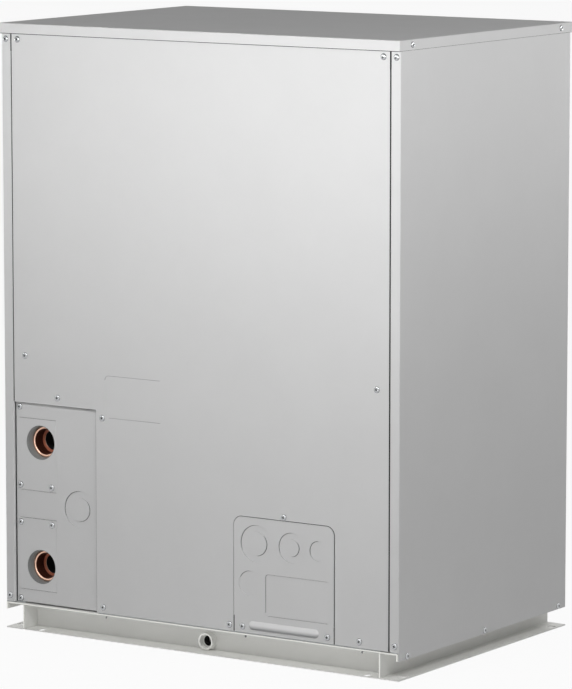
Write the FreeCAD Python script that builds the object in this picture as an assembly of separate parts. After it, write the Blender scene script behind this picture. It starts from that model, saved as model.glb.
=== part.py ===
import FreeCAD, Part
import math
import os

from FreeCAD import Vector

os.makedirs("parts", exist_ok=True)

# A water-source outdoor unit for a multi-split system, in millimetres.
# The origin is the centre of the footprint on the floor, +X right, the front faces -Y, +Z up.

# Flats used on hidden or repeated round pieces, to keep the facets few
BAR_SIDES = 12
VESSEL_SIDES = 20
KNOCKOUT_SIDES = 20
HOLE_SIDES = 40

# Cabinet
WIDTH = 840.0
DEPTH = 574.0
HEIGHT = 1100.0
HALF = WIDTH / 2
FRONT = -DEPTH / 2
BACK = DEPTH / 2

# Sheet thicknesses
SKIN = 1.2
POST_SHEET = 1.6
APRON_SHEET = 1.6
RAIL_SHEET = 2.3
PAN_SHEET = 3.2

# Inner radii of the folds, each drawn in a few steps
FOLD = 0.5
RAIL_FOLD = 1.2
FOLD_STEPS = 3

# Clearances
SEAT = 0.2
PANEL_GAP = 1.5

# Base
PAN_BOTTOM = 45.3
PAN_TOP = PAN_BOTTOM + PAN_SHEET
PAN_PROUD = 1.0
PAN_BEND = 5.0
PAN_SIDE = HALF - SKIN - SEAT
PAN_FLANGE = 13.0
RAIL_FOOT = 37.6
RAIL_WEB = HALF - RAIL_FOOT
RAIL_HEAD = 30.0
RAIL_END_GAP = 2.0
APRON_SET_BACK = 39.0
APRON_HEAD = 22.0
APRON_FACE = FRONT + APRON_SET_BACK
SLOT_WIDTH = 12.0
SLOT_LENGTH = 18.0
SIDE_SLOT_INSET = (11.0, 32.0)
APRON_SLOT_INSET = (33.4, 11.5)

# Drain socket, Rc 3/4
DRAIN_X = 1.4
DRAIN_Z = 17.9
DRAIN_RADIUS = 15.4
DRAIN_BORE = 12.05
DRAIN_BORE_DEPTH = 10.0
DRAIN_INNER_BORE = 9.0
DRAIN_PROUD = 15.0
DRAIN_DROP = 23.0
DRAIN_TURN = APRON_FACE + DRAIN_DROP

# Side panels and top panel
STRIP = 19.5
STRIP_RETURN = 7.0
SIDE_BOTTOM = 34.6
PANEL_BOTTOM = 50.0
PANEL_TOP = HEIGHT - 10.0
LID_SKIRT = 18.0
LID_OVERHANG = 5.5
LID_UNDER = HEIGHT - SKIN
FRAME_TOP = LID_UNDER - SEAT
SIDE_TOP_FLANGE = 14.0

# Frame behind the panels
POST_LEG = 45.0
POST_INNER = HALF - 37.0
POST_RETURN = 18.0
BEAM_HEIGHT = 40.0
BEAM_DEPTH = 35.0
BEAM_LIP = 13.6
SILL_HEIGHT = 27.0
SILL_FOOT = 22.0
SILL_SET_BACK = 2.6
SILL_END_GAP = 2.0

# Front panel
FRONT_EDGE = HALF - STRIP - PANEL_GAP
FRONT_RETURN_TOP = PANEL_TOP - 40.0
NOTCH_WIDTH = 181.3
NOTCH_RIGHT = -FRONT_EDGE + NOTCH_WIDTH
NOTCH_TOP = 417.5
LABEL_GAP = 20.1
LABEL_WIDTH = 125.6
LABEL_Z = (405.0, 481.0)
LABEL_CORNER = 8.0
EMBOSS = 0.5

# Access panel in the front panel
ACCESS_WIDTH = 207.0
ACCESS_INSET = 111.7
ACCESS_X = (FRONT_EDGE - ACCESS_INSET - ACCESS_WIDTH, FRONT_EDGE - ACCESS_INSET)
ACCESS_TOP = 255.0
ACCESS_CORNER = 15.0
ACCESS_GAP = 2.2
RIM_WIDTH = 12.0
RIM_CORNER = 6.0
RIM_BOTTOM = 79.0
BEAD_START = 30.2
BEAD_LENGTH = 146.2
BEAD_Z = 64.5
BEAD_RADIUS = 8.0
BEAD_PROUD = 3.0
BEAD_SECTIONS = ((1.0, -0.05), (0.86, 0.55), (0.55, 1.0))

# Knock-outs of the access panel, from its left edge, and the one of the water side
KNOCKOUT_DEPTH = 0.6
KNOCKOUT_ROW = ACCESS_TOP - 44.6
WIDE_KNOCKOUT = (45.9, 33.0, 21.0)
MIDDLE_KNOCKOUT = (119.1, 26.7, 15.0)
SMALL_KNOCKOUT = (174.5, 17.7)
LOW_KNOCKOUT = (31.7, 22.5)
LOW_KNOCKOUT_Z = 138.6
CABLE_FIELD_X = (64.9, 199.7)
CABLE_FIELD_Z = (84.0, 158.5)
CABLE_FIELD_CORNER = 6.0
WATER_KNOCKOUT_INSET = 41.6
WATER_KNOCKOUT_Z = 232.1
WATER_KNOCKOUT = (33.3, 21.5)

# Water side: recessed panel, pipe plates, sockets Rc 1-1/2
WATER_RECESS = 6.0
WATER_LAP = 22.0
WATER_BOTTOM = 51.0
PLATE_LEFT = -FRONT_EDGE + 2.0
PLATE_WIDTH = 86.6
PLATE_HEIGHT = 131.2
PLATE_THICK = 1.0
UPPER_PLATE_BOTTOM = 257.4
LOWER_PLATE_BOTTOM = 74.8
PLATE_SCREW_RISE = 8.4
PLATE_SCREW_INSETS = (7.5, 9.8)
PIPE_X = PLATE_LEFT + 52.6
UPPER_PIPE_Z = 346.0
LOWER_PIPE_Z = 118.5
PIPE_HOLE = 31.2
PANEL_HOLE_MARGIN = 8.0
SOCKET_RADIUS = 28.7
SOCKET_BORE = 22.35
SOCKET_BORE_DEPTH = 24.0
SOCKET_STEP_BORE = 18.0
SOCKET_SET_BACK = 19.5
SOCKET_LENGTH = 60.0
COLLAR_GAP = 0.6
COLLAR_WALL = 8.5
COLLAR_LENGTH = 45.0
WATER_PIPE_RADIUS = 21.3

# Plate heat exchanger
PHE_SIZE = (246.0, 150.0, 525.0)
PHE_FRONT = FRONT + 167.0
PHE_CORNER = 30.0
PHE_PORT_INSET = 34.5
PHE_PORT_LENGTH = 26.0
PHE_PORT_WALL = 3.0
PHE_PORT_SPACING = 174.0
PHE_PLATE_THICK = 6.0
PHE_STEP = 3.0
PHE_X = PIPE_X + PHE_PORT_SPACING / 2
PHE_LOW = LOWER_PIPE_Z - PHE_PORT_INSET
PHE_HIGH_PORT = PHE_LOW + PHE_SIZE[2] - PHE_PORT_INSET
STAND_INSET = 10.0
STAND_FOOT = 20.0
STAND_REACH = 40.0
STRAP_HEIGHT = 30.0

# Accumulator
ACC_INSET = (160.0, 137.0)
ACC_X = HALF - ACC_INSET[0]
ACC_Y = BACK - ACC_INSET[1]
ACC_RADIUS = 72.0
ACC_HEIGHT = 410.0
ACC_LEG = 21.5
ACC_LEG_WALL = 4.0
ACC_CHAMFER = 24.0
ACC_Z = (PAN_TOP + ACC_LEG, PAN_TOP + ACC_LEG + ACC_HEIGHT)
ACC_INLET = (5.0, -20.0)
ACC_OUTLET = (-25.0, 20.0)

# Compressor, midway between the exchanger and the accumulator
COMP_X = (PHE_X + PHE_SIZE[0] / 2 + ACC_X - ACC_RADIUS) / 2
COMP_Y = 60.0
COMP_RADIUS = 95.0
COMP_HEIGHT = 470.0
COMP_CHAMFER = 18.0
COMP_OUTLET = (-45.0, -25.0)
COMP_INLET = (20.0, 20.0)
FOOT_RADIUS = 15.0
FOOT_NECK = 10.0
FOOT_CIRCLE = 118.0
FOOT_MARGIN = 22.0
FOOT_PLATE = 5.0
MOUNT_HEIGHT = 27.5
MOUNT_PROUD = 11.0
COMP_BOTTOM = PAN_TOP + MOUNT_HEIGHT
COMP_TOP = COMP_BOTTOM + COMP_HEIGHT
TERMINAL_COVER = (60.0, 34.0, 70.0)
TERMINAL_RISE = 284.0
TERMINAL_Z = COMP_BOTTOM + TERMINAL_RISE
TERMINAL_PROUD = 22.0

# Service valves and expansion valve
SERVICE_Y = FRONT + 107.0
SERVICE_Z = 130.0
LIQUID_VALVE_X = ACCESS_X[0] + 49.7
GAS_VALVE_X = LIQUID_VALVE_X + 105.0
VALVE_BLOCK = 40.0
VALVE_WALL = 4.0
VALVE_STUB = 14.0
BRACKET_WIDTH = 44.0
PLUG_RADIUS = 13.0
PLUG_CLEARANCE = 0.6
PLUG_PLAY = 0.4
STEM_RADIUS = 6.0
STEM_PROUD = 4.0
KEY_DEPTH = 5.0
BONNET_WALL = 6.0
BONNET_LENGTH = 16.0
EXV_X = PIPE_X + PHE_PORT_SPACING + 80.4
EXV_RADIUS = 14.0
EXV_HEIGHT = 64.0
EXV_Z = (LOWER_PIPE_Z + 69.5, LOWER_PIPE_Z + 69.5 + EXV_HEIGHT)
EXV_OUTLET_RISE = 27.0
EXV_SEAT = 14.0
COIL_WALL = 11.0
COIL_HEIGHT = 26.0
COIL_PROUD = 4.0
NEEDLE_RADIUS = 3.0
NEEDLE_CLEARANCE = 0.8
NEEDLE_TRAVEL = 3.0
NEEDLE_TIP = 0.6
NEEDLE_CONE = 6.0

# Four-way valve, its axis along X
FWV_PITCH = 35.0
FWV_X = GAS_VALVE_X - FWV_PITCH
FWV_Y = 20.0
FWV_Z = PHE_HIGH_PORT + 65.5
FWV_RADIUS = 23.0
FWV_WALL = 2.5
FWV_LENGTH = 140.0
FWV_STUB = 8.0
FWV_TRAVEL = 24.0
FWV_END_GAP = 1.0
PISTON_LENGTH = 8.0
PISTON_CLEARANCE = 0.5
SLIDE_BLOCK = (44.0, 20.0, 19.0)

# Pipes
PIPE_SIDES = 8
BEND_STEPS = 3
STUB_WALL = 2.0
SUCTION_RADIUS = 14.3
GAS_RADIUS = 11.1
DISCHARGE_RADIUS = 9.5
LIQUID_RADIUS = 6.35
SUCTION_RISE = 49.0
DISCHARGE_RISE = 80.0
GAS_LINE_DROP = 120.0

# Control box
BOX_RIGHT = POST_INNER - 7.0
BOX_WIDTH = 541.0
BOX_Y = (FRONT + 25.0, FRONT + 167.0)
BOX_HEIGHT = 340.0
BOX_TOP = FRAME_TOP - BEAM_LIP - SEAT
BOX_X = (BOX_RIGHT - BOX_WIDTH, BOX_RIGHT)
BOX_Z = (BOX_TOP - BOX_HEIGHT, BOX_TOP)
BOX_MIDDLE = (BOX_Z[0] + BOX_Z[1]) / 2
BOARD_SIZE = (240.0, 270.0)
BOARD_SHEET = 2.0
BOARD_MARGIN = 25.0
STANDOFF = 10.0
STANDOFF_RADIUS = 4.0
TERMINAL_BLOCK = (160.0, 12.0, 16.0)
CHIP = (40.0, 6.0, 40.0)
MODULE_SIZE = (210.0, 180.0)
MODULE_MARGIN = 30.0
MODULE_BASE = 10.0
MODULE_BOARD = (170.0, 16.0, 100.0)
FIN_COUNT = 9
FIN_HEIGHT = 48.0
FIN_SHEET = 4.0

# Screws, self-tapping M4
HEAD_SIDES = 8
HEAD_RADIUS = 5.0
HEAD_HEIGHT = 2.2
SHANK_SIDES = 6
SHANK_RADIUS = 2.0
SHANK_CLEARANCE = 0.4
SHANK_LENGTH = 12.0
HOLE_DEPTH = 8.0
STRIP_SCREW_X = HALF - 8.5
EDGE_SCREW_X = FRONT_EDGE - 13.5
MIDDLE_SCREW_X = FRONT_EDGE - 25.0
LOW_SCREW_Z = 60.9
MIDDLE_SCREW_Z = 503.1
HIGH_SCREW_Z = HEIGHT - 28.7
SIDE_SCREW_Z = 40.5
SIDE_SCREW_Y = BACK - 27.0
LID_SCREW_Y = BACK - 36.0
LID_SCREW_Z = HEIGHT - 9.0
SILL_SCREW_Y = FRONT + 10.0
NOTCH_SCREW_X = NOTCH_RIGHT + 14.0
NOTCH_SCREW_DROP = 13.7
NOTCH_SCREW_RISE = 14.2
NOTCH_TOP_SCREW_X = -FRONT_EDGE + 96.6
RIGHT_SCREW_X = FRONT_EDGE - 59.3
ACCESS_SCREW_GAP = 11.1
ACCESS_SCREW_RISE = 7.7
ACCESS_SCREW_INSETS = (16.7, 13.2)
WATER_SCREW_X = -FRONT_EDGE + 7.5
WATER_SCREW_Z = (WATER_BOTTOM + 5.8, NOTCH_TOP - 9.3)

LEFTWARD = Vector(-1, 0, 0)
RIGHTWARD = Vector(1, 0, 0)
FORWARD = Vector(0, -1, 0)
REARWARD = Vector(0, 1, 0)
UPWARD = Vector(0, 0, 1)
DOWNWARD = Vector(0, 0, -1)


def block(x, y, z):
    """A box between two values on each axis."""
    size = (x[1] - x[0], y[1] - y[0], z[1] - z[0])
    return Part.makeBox(*size, Vector(x[0], y[0], z[0]))


def around(middle, size):
    return (middle - size / 2, middle + size / 2)


def rod(radius, start, direction, length):
    return Part.makeCylinder(radius, length, Vector(*start), direction)


def join(*shapes):
    return shapes[0].multiFuse(list(shapes[1:])).removeSplitter()


def group(shapes):
    return Part.makeCompound(shapes)


def mirror_x(shape):
    return shape.mirror(Vector(0, 0, 0), RIGHTWARD)


def mirror_y(shape):
    return shape.mirror(Vector(0, 0, 0), REARWARD)


def face_through(points):
    return Part.Face(Part.makePolygon(points + points[:1]))


def ribbon(points, thickness, fold=0.0):
    """The closed outline of a folded sheet that lies on the left of a path in a plane.

    Each fold is sharp, or turns round an inner radius by a few short straight steps.
    """
    points = [Vector(x, y, 0) for x, y in points]
    normals = []
    for a, b in zip(points, points[1:]):
        run = (b - a).normalize()
        normals.append(Vector(-run.y, run.x, 0))
    near, far = [points[0]], [points[0] + normals[0] * thickness]
    for corner, before, after in zip(points[1:-1], normals, normals[1:]):
        mitre = (before + after).multiply(1 / (1 + before.dot(after)))
        if not fold:
            near.append(corner)
            far.append(corner + mitre * thickness)
            continue
        left = before.cross(after).z > 0
        centre = corner + mitre * (fold + thickness if left else -fold)
        radii = (fold + thickness, fold) if left else (fold, fold + thickness)
        sweep = math.degrees(before.getAngle(after)) * (1 if left else -1)
        for i in range(FOLD_STEPS + 1):
            spoke = FreeCAD.Rotation(UPWARD, sweep * i / FOLD_STEPS).multVec(before * (-1 if left else 1))
            near.append(centre + spoke * radii[0])
            far.append(centre + spoke * radii[1])
    near.append(points[-1])
    far.append(points[-1] + normals[-1] * thickness)
    return near + far[::-1]


def plan_sheet(points, thickness, z, fold=0.0):
    """A folded sheet drawn in plan and standing between two heights."""
    profile = [Vector(p.x, p.y, z[0]) for p in ribbon(points, thickness, fold)]
    return face_through(profile).extrude(Vector(0, 0, z[1] - z[0]))


def side_sheet(points, thickness, x, fold=0.0):
    """A folded sheet drawn in a side view as (y, z) and running from left to right."""
    profile = [Vector(x[0], p.x, p.y) for p in ribbon(points, thickness, fold)]
    return face_through(profile).extrude(Vector(x[1] - x[0], 0, 0))


def front_sheet(points, thickness, y, fold=0.0):
    """A folded sheet drawn in a front view as (x, z) and running from front to back."""
    profile = [Vector(p.x, y[0], p.y) for p in ribbon(points, thickness, fold)]
    return face_through(profile).extrude(Vector(0, y[1] - y[0], 0))


def rounded_plate(x, z, y, radius, rounded="all"):
    """An upright plate with rounded corners, all four or only the top two."""
    plate = block(x, y, z)
    edges = []
    for edge in plate.Edges:
        a, b = [v.Point for v in edge.Vertexes]
        upper = a.z > (z[0] + z[1]) / 2
        if abs(a.x - b.x) < 1e-6 and abs(a.z - b.z) < 1e-6 and (rounded == "all" or upper):
            edges.append(edge)
    return plate.makeFillet(radius, edges)


def regular(sides, radius, centre, direction):
    """The corners of a regular outline square to a direction."""
    across = direction.cross(UPWARD if abs(direction.z) < 0.9 else RIGHTWARD).normalize()
    up = direction.cross(across)
    corners = []
    for i in range(sides):
        angle = 2 * math.pi * (i + 0.5) / sides
        corners.append(centre + across * (radius * math.cos(angle)) + up * (radius * math.sin(angle)))
    return corners


def bar(radius, start, direction, length, sides=BAR_SIDES):
    """A round bar drawn with flats."""
    return face_through(regular(sides, radius, Vector(*start), direction)).extrude(direction * length)


def flat_ring(outer, inner, start, direction, length, sides=BAR_SIDES):
    return bar(outer, start, direction, length, sides).cut(bar(inner, start, direction, length, sides))


def slot(x, y, z, width, length, along, end=rod):
    """A round-ended slot for cutting through a flat sheet."""
    reach = (length - width) / 2
    step = (reach, 0) if along == "x" else (0, reach)
    half = (max(step[0], width / 2), max(step[1], width / 2))
    middle = block((x - half[0], x + half[0]), (y - half[1], y + half[1]), z)
    radius = width / 2 if end is rod else width / 2 / math.cos(math.pi / BAR_SIDES)
    places = [(x + side * step[0], y + side * step[1], z[0]) for side in (-1, 1)]
    return join(middle, *[end(radius, place, UPWARD, z[1] - z[0]) for place in places])


def screw(place, outward):
    """One screw: the head on the surface at place, the shank going inwards."""
    head = bar(HEAD_RADIUS, place, outward, HEAD_HEIGHT, HEAD_SIDES)
    shank = bar(SHANK_RADIUS, place, outward * -1, SHANK_LENGTH, SHANK_SIDES)
    return join(head, shank)


def screw_hole(place, outward):
    start = Vector(*place) + outward
    return bar(SHANK_RADIUS + SHANK_CLEARANCE, start, outward * -1, HOLE_DEPTH, SHANK_SIDES)


def faceted(sections):
    """A solid through a row of outlines with the same number of corners."""
    faces = [face_through(end) for end in (sections[0], sections[-1])]
    for low, high in zip(sections, sections[1:]):
        for i in range(len(low)):
            j = (i + 1) % len(low)
            faces.append(face_through([low[i], low[j], high[j], high[i]]))
    solid = Part.makeSolid(Part.makeShell(faces))
    if solid.Volume < 0:
        solid.reverse()
    return solid


def rounded_route(points, bend):
    """The route with each corner turned by a few short straight steps on an arc."""
    route = [points[0]]
    for before, corner, after in zip(points, points[1:], points[2:]):
        towards = (before - corner).normalize()
        away = (after - corner).normalize()
        half_angle = towards.getAngle(away) / 2
        first = corner + towards * (bend / math.tan(half_angle))
        centre = corner + (towards + away).normalize() * (bend / math.sin(half_angle))
        normal = towards.cross(away).normalize()
        sweep = math.degrees(math.pi - 2 * half_angle)
        for i in range(BEND_STEPS + 1):
            turn = FreeCAD.Rotation(normal, -sweep * i / BEND_STEPS)
            route.append(centre + turn.multVec(first - centre))
    return route + [points[-1]]


def pipe(points, radius, bend):
    """A bent tube: straight runs, mitred along the steps of each bend."""
    route = rounded_route([Vector(*p) for p in points], bend)
    runs = [(b - a).normalize() for a, b in zip(route, route[1:])]
    section = regular(PIPE_SIDES, radius, route[0], runs[0])
    sections = [section]
    for i, place in enumerate(route[1:]):
        normal = (runs[i] + runs[i + 1]).normalize() if i + 1 < len(runs) else runs[i]
        section = [p + runs[i] * ((place - p).dot(normal) / runs[i].dot(normal)) for p in section]
        sections.append(section)
    return faceted(sections)


def vessel(x, y, z, radius, chamfer):
    """An upright closed vessel with coned ends."""
    low, high = z
    neck = radius - chamfer
    levels = [(neck, low), (radius, low + chamfer), (radius, high - chamfer), (neck, high)]
    return faceted([regular(VESSEL_SIDES, r, Vector(x, y, level), UPWARD) for r, level in levels])


# Screw positions, shared by the holes and the screws
def notch_screws():
    spots = [(NOTCH_TOP_SCREW_X, NOTCH_TOP + NOTCH_SCREW_RISE)]
    spots += [(NOTCH_SCREW_X, z) for z in (NOTCH_TOP - NOTCH_SCREW_DROP, LOW_SCREW_Z)]
    return [(x, FRONT, z) for x, z in spots]


def front_panel_screws():
    spots = [(side * EDGE_SCREW_X, HIGH_SCREW_Z) for side in (-1, 1)]
    spots += [(side * MIDDLE_SCREW_X, MIDDLE_SCREW_Z) for side in (-1, 1)]
    spots += [(ACCESS_X[0] - ACCESS_SCREW_GAP, LOW_SCREW_Z), (RIGHT_SCREW_X, LOW_SCREW_Z)]
    spots.append(((ACCESS_X[0] + ACCESS_X[1]) / 2, ACCESS_TOP + ACCESS_SCREW_RISE))
    return notch_screws() + [(x, FRONT, z) for x, z in spots]


def strip_screws(y):
    return [(side * STRIP_SCREW_X, y, z) for side in (-1, 1) for z in (LOW_SCREW_Z, HIGH_SCREW_Z)]


def water_panel_screws():
    return [(WATER_SCREW_X, FRONT + WATER_RECESS, z) for z in WATER_SCREW_Z]


def plate_screws(z):
    spots = (PLATE_LEFT + PLATE_SCREW_INSETS[0], PLATE_LEFT + PLATE_WIDTH - PLATE_SCREW_INSETS[1])
    return [(x, FRONT + WATER_RECESS - PLATE_THICK, z) for x in spots]


def all_plate_screws():
    upper = plate_screws(UPPER_PLATE_BOTTOM + PLATE_SCREW_RISE)
    return upper + plate_screws(LOWER_PLATE_BOTTOM + PLATE_HEIGHT - PLATE_SCREW_RISE)


def access_screws():
    spots = (ACCESS_X[0] + ACCESS_SCREW_INSETS[0], ACCESS_X[1] - ACCESS_SCREW_INSETS[1])
    return [(x, FRONT, LOW_SCREW_Z) for x in spots]


def side_screws(side):
    return [(side * HALF, y, SIDE_SCREW_Z) for y in (-SIDE_SCREW_Y, 0.0, SIDE_SCREW_Y)]


def lid_screws(side):
    return [(side * (HALF + SKIN), end * LID_SCREW_Y, LID_SCREW_Z) for end in (-1, 1)]


def rear_panel_screws():
    heights = (LOW_SCREW_Z, (LOW_SCREW_Z + HIGH_SCREW_Z) / 2, HIGH_SCREW_Z)
    return [(side * EDGE_SCREW_X, BACK, z) for side in (-1, 1) for z in heights]


def sill_screws():
    spots = (NOTCH_SCREW_X, ACCESS_X[0] + ACCESS_SCREW_INSETS[0], RIGHT_SCREW_X)
    return [(x, SILL_SCREW_Y, PAN_TOP + POST_SHEET) for x in spots]


# Base
def base_pan():
    x = PAN_SIDE
    low = PAN_TOP - PAN_FLANGE
    path = [(x, low), (x, PAN_TOP), (-x, PAN_TOP), (-x, low)]
    pan = front_sheet(path, PAN_SHEET, (FRONT - PAN_PROUD, BACK + PAN_PROUD))
    corners = [e for e in pan.Edges if abs(e.BoundBox.ZMin - PAN_TOP) < 0.01 and e.BoundBox.XLength < 0.01]
    pan = pan.makeFillet(PAN_BEND, corners)
    return pan.cut(bar(DRAIN_BORE + 2 * SEAT, (DRAIN_X, DRAIN_TURN, PAN_BOTTOM - 1), UPWARD, PAN_SHEET + 2))


def base_rail():
    """The right rail, a Z-shaped sheet; the left one is its mirror image."""
    top = PAN_BOTTOM - SEAT
    inside = RAIL_WEB - RAIL_SHEET
    angle = front_sheet([(inside, top), (inside, 0), (HALF, 0)], RAIL_SHEET, (FRONT, BACK), RAIL_FOLD)
    reach = -APRON_FACE - APRON_HEAD - RAIL_END_GAP
    head = block((RAIL_WEB - RAIL_HEAD, inside), (-reach, reach), (top - RAIL_SHEET, top))
    x, y = HALF - SIDE_SLOT_INSET[0], BACK - SIDE_SLOT_INSET[1]
    through = (-RAIL_SHEET, 2 * RAIL_SHEET)
    cuts = [slot(x, end * y, through, SLOT_WIDTH, SLOT_LENGTH, "x") for end in (-1, 1)]
    return join(angle, head).cut(group(cuts))


def base_apron():
    """The front apron; the rear one is its mirror image without the drain hole."""
    x = RAIL_WEB - RAIL_SHEET - SEAT
    top = PAN_BOTTOM - SEAT
    path = [(APRON_FACE + APRON_HEAD, top), (APRON_FACE, top), (APRON_FACE, 0)]
    upright = side_sheet(path, APRON_SHEET, (-x, x))
    foot = block((-x, x), (FRONT, APRON_FACE + APRON_SHEET), (0, APRON_SHEET))
    slot_x, slot_y = RAIL_WEB - APRON_SLOT_INSET[0], FRONT + APRON_SLOT_INSET[1]
    through = (-APRON_SHEET, 2 * APRON_SHEET)
    cuts = [slot(side * slot_x, slot_y, through, SLOT_WIDTH, SLOT_LENGTH, "y", bar) for side in (-1, 1)]
    return join(upright, foot).cut(group(cuts))


def drain_clearance():
    start = (DRAIN_X, FRONT, DRAIN_Z)
    turn = (DRAIN_X, DRAIN_TURN, DRAIN_Z)
    through = bar(DRAIN_RADIUS + SEAT, start, REARWARD, DRAIN_TURN - FRONT, VESSEL_SIDES)
    return join(through, bar(DRAIN_RADIUS + 3 * SEAT, turn, UPWARD, PAN_BOTTOM - DRAIN_Z))


def drain_socket():
    """The drain elbow: its threaded mouth faces forward and its riser opens in the pan."""
    mouth, turn = (DRAIN_X, APRON_FACE - DRAIN_PROUD, DRAIN_Z), (DRAIN_X, DRAIN_TURN, DRAIN_Z)
    length = DRAIN_PROUD + DRAIN_DROP
    body = bar(DRAIN_RADIUS, mouth, REARWARD, length, VESSEL_SIDES)
    riser = bar(DRAIN_BORE, turn, UPWARD, PAN_TOP - DRAIN_Z)
    collar = bar(DRAIN_RADIUS, turn, UPWARD, PAN_BOTTOM - DRAIN_Z - SEAT)
    bore = rod(DRAIN_BORE, mouth, REARWARD, DRAIN_BORE_DEPTH)
    through = bar(DRAIN_INNER_BORE, mouth, REARWARD, length)
    drop = bar(DRAIN_INNER_BORE, turn, UPWARD, PAN_TOP)
    return join(body, collar, riser).cut(group([bore, through, drop]))


# Frame
def front_post():
    """The front left post, folded round the corner strip's return."""
    x, y = -PAN_SIDE, FRONT + SKIN + SEAT
    step_x = -(HALF - STRIP + SKIN + PANEL_GAP)
    inner_y = FRONT + STRIP_RETURN + SKIN + SEAT
    path = [(x, y + POST_LEG), (x, y), (step_x, y), (step_x, inner_y)]
    path += [(-POST_INNER, inner_y), (-POST_INNER, inner_y + POST_RETURN)]
    return plan_sheet(path, POST_SHEET, (PAN_TOP + SEAT, FRAME_TOP - POST_SHEET - SEAT))


def top_beam():
    y = FRONT + SKIN + SEAT
    path = [(y + BEAM_DEPTH, FRAME_TOP - BEAM_LIP), (y + BEAM_DEPTH, FRAME_TOP)]
    path += [(y, FRAME_TOP), (y, FRAME_TOP - BEAM_HEIGHT)]
    return side_sheet(path, POST_SHEET, (-FRONT_EDGE + PANEL_GAP, FRONT_EDGE - PANEL_GAP))


def front_sill():
    """The angle that stands on the pan's front edge and carries the front panel's foot."""
    y = FRONT + SILL_SET_BACK
    path = [(y, PAN_TOP + SILL_HEIGHT), (y, PAN_TOP), (y + SILL_FOOT, PAN_TOP)]
    sill = side_sheet(path, POST_SHEET, (NOTCH_RIGHT + SILL_END_GAP, POST_INNER - SILL_END_GAP))
    return sill.cut(group([screw_hole(p, UPWARD) for p in sill_screws()]))


# Casing
def side_panel():
    """The right side panel, folded round both corners; the left one is its mirror image."""
    inner, edge = HALF - STRIP, STRIP_RETURN
    path = [(inner, FRONT + edge), (inner, FRONT), (HALF, FRONT)]
    path += [(HALF, BACK), (inner, BACK), (inner, BACK - edge)]
    panel = plan_sheet(path, SKIN, (SIDE_BOTTOM, FRAME_TOP), FOLD)
    flange_x = (HALF - SKIN - SIDE_TOP_FLANGE, HALF - SKIN)
    flange = block(flange_x, (FRONT + SKIN, BACK - SKIN), (FRAME_TOP - SKIN, FRAME_TOP))
    below = []
    for y in ((FRONT - SKIN, FRONT + edge + SKIN), (BACK - edge - SKIN, BACK + SKIN)):
        below.append(block((inner - SKIN, HALF - SKIN), y, (SIDE_BOTTOM - SKIN, PANEL_BOTTOM)))
    panel = join(panel, flange).cut(group(below))
    holes = [screw_hole(p, RIGHTWARD) for p in side_screws(1) + lid_screws(1)]
    holes += [screw_hole(p, FORWARD) for p in strip_screws(FRONT)]
    holes += [screw_hole(p, REARWARD) for p in strip_screws(BACK)]
    return panel.cut(group(holes))


def top_panel():
    x = HALF + SKIN
    y = BACK + LID_OVERHANG
    z = (HEIGHT - LID_SKIRT, HEIGHT)
    outer = block((-x, x), (-y, y), z)
    outer = outer.makeFillet(FOLD + SKIN, [e for e in outer.Edges if e.BoundBox.ZMin > HEIGHT - 0.01])
    inner = block((-x + SKIN, x - SKIN), (-y + SKIN, y - SKIN), (z[0] - SKIN, LID_UNDER))
    holes = [screw_hole(p, d) for side, d in ((-1, LEFTWARD), (1, RIGHTWARD)) for p in lid_screws(side)]
    return outer.cut(inner).cut(group(holes))


def folded_panel():
    """A front sheet folded back along both sides, up to the level of the top beam."""
    edge = FRONT + STRIP_RETURN
    path = [(-FRONT_EDGE, edge), (-FRONT_EDGE, FRONT), (FRONT_EDGE, FRONT), (FRONT_EDGE, edge)]
    panel = plan_sheet(path, SKIN, (PANEL_BOTTOM, PANEL_TOP), FOLD)
    behind = (FRONT + SKIN, edge + SKIN)
    return panel.cut(block((-HALF, HALF), behind, (FRONT_RETURN_TOP, HEIGHT)))


def front_panel():
    """The large front panel with its notch, access opening, joggled rim and label field."""
    notch_x = (-FRONT_EDGE - SKIN, NOTCH_RIGHT)
    notch = block(notch_x, (FRONT - SKIN, FRONT + 2 * STRIP_RETURN), (PANEL_BOTTOM - SKIN, NOTCH_TOP))
    above = (NOTCH_TOP - SKIN, NOTCH_TOP + 2 * SKIN)
    relief = block(notch_x, (FRONT + SKIN, FRONT + 2 * STRIP_RETURN), above)
    opening_x = (ACCESS_X[0] - ACCESS_GAP, ACCESS_X[1] + ACCESS_GAP)
    opening_z = (PANEL_BOTTOM - 2 * ACCESS_CORNER, ACCESS_TOP + ACCESS_GAP)
    deep = (FRONT - SKIN, FRONT + 2 * SKIN)
    opening = rounded_plate(opening_x, opening_z, deep, ACCESS_CORNER + ACCESS_GAP, "top")
    panel = folded_panel().cut(join(notch, relief)).cut(opening)
    label_x = (NOTCH_RIGHT + LABEL_GAP, NOTCH_RIGHT + LABEL_GAP + LABEL_WIDTH)
    label = rounded_plate(label_x, LABEL_Z, (FRONT - SKIN, FRONT + EMBOSS), LABEL_CORNER)
    holes = [screw_hole(p, FORWARD) for p in front_panel_screws()]
    return join(panel, access_rim(opening_x, opening_z)).cut(group(holes + [label]))


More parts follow.
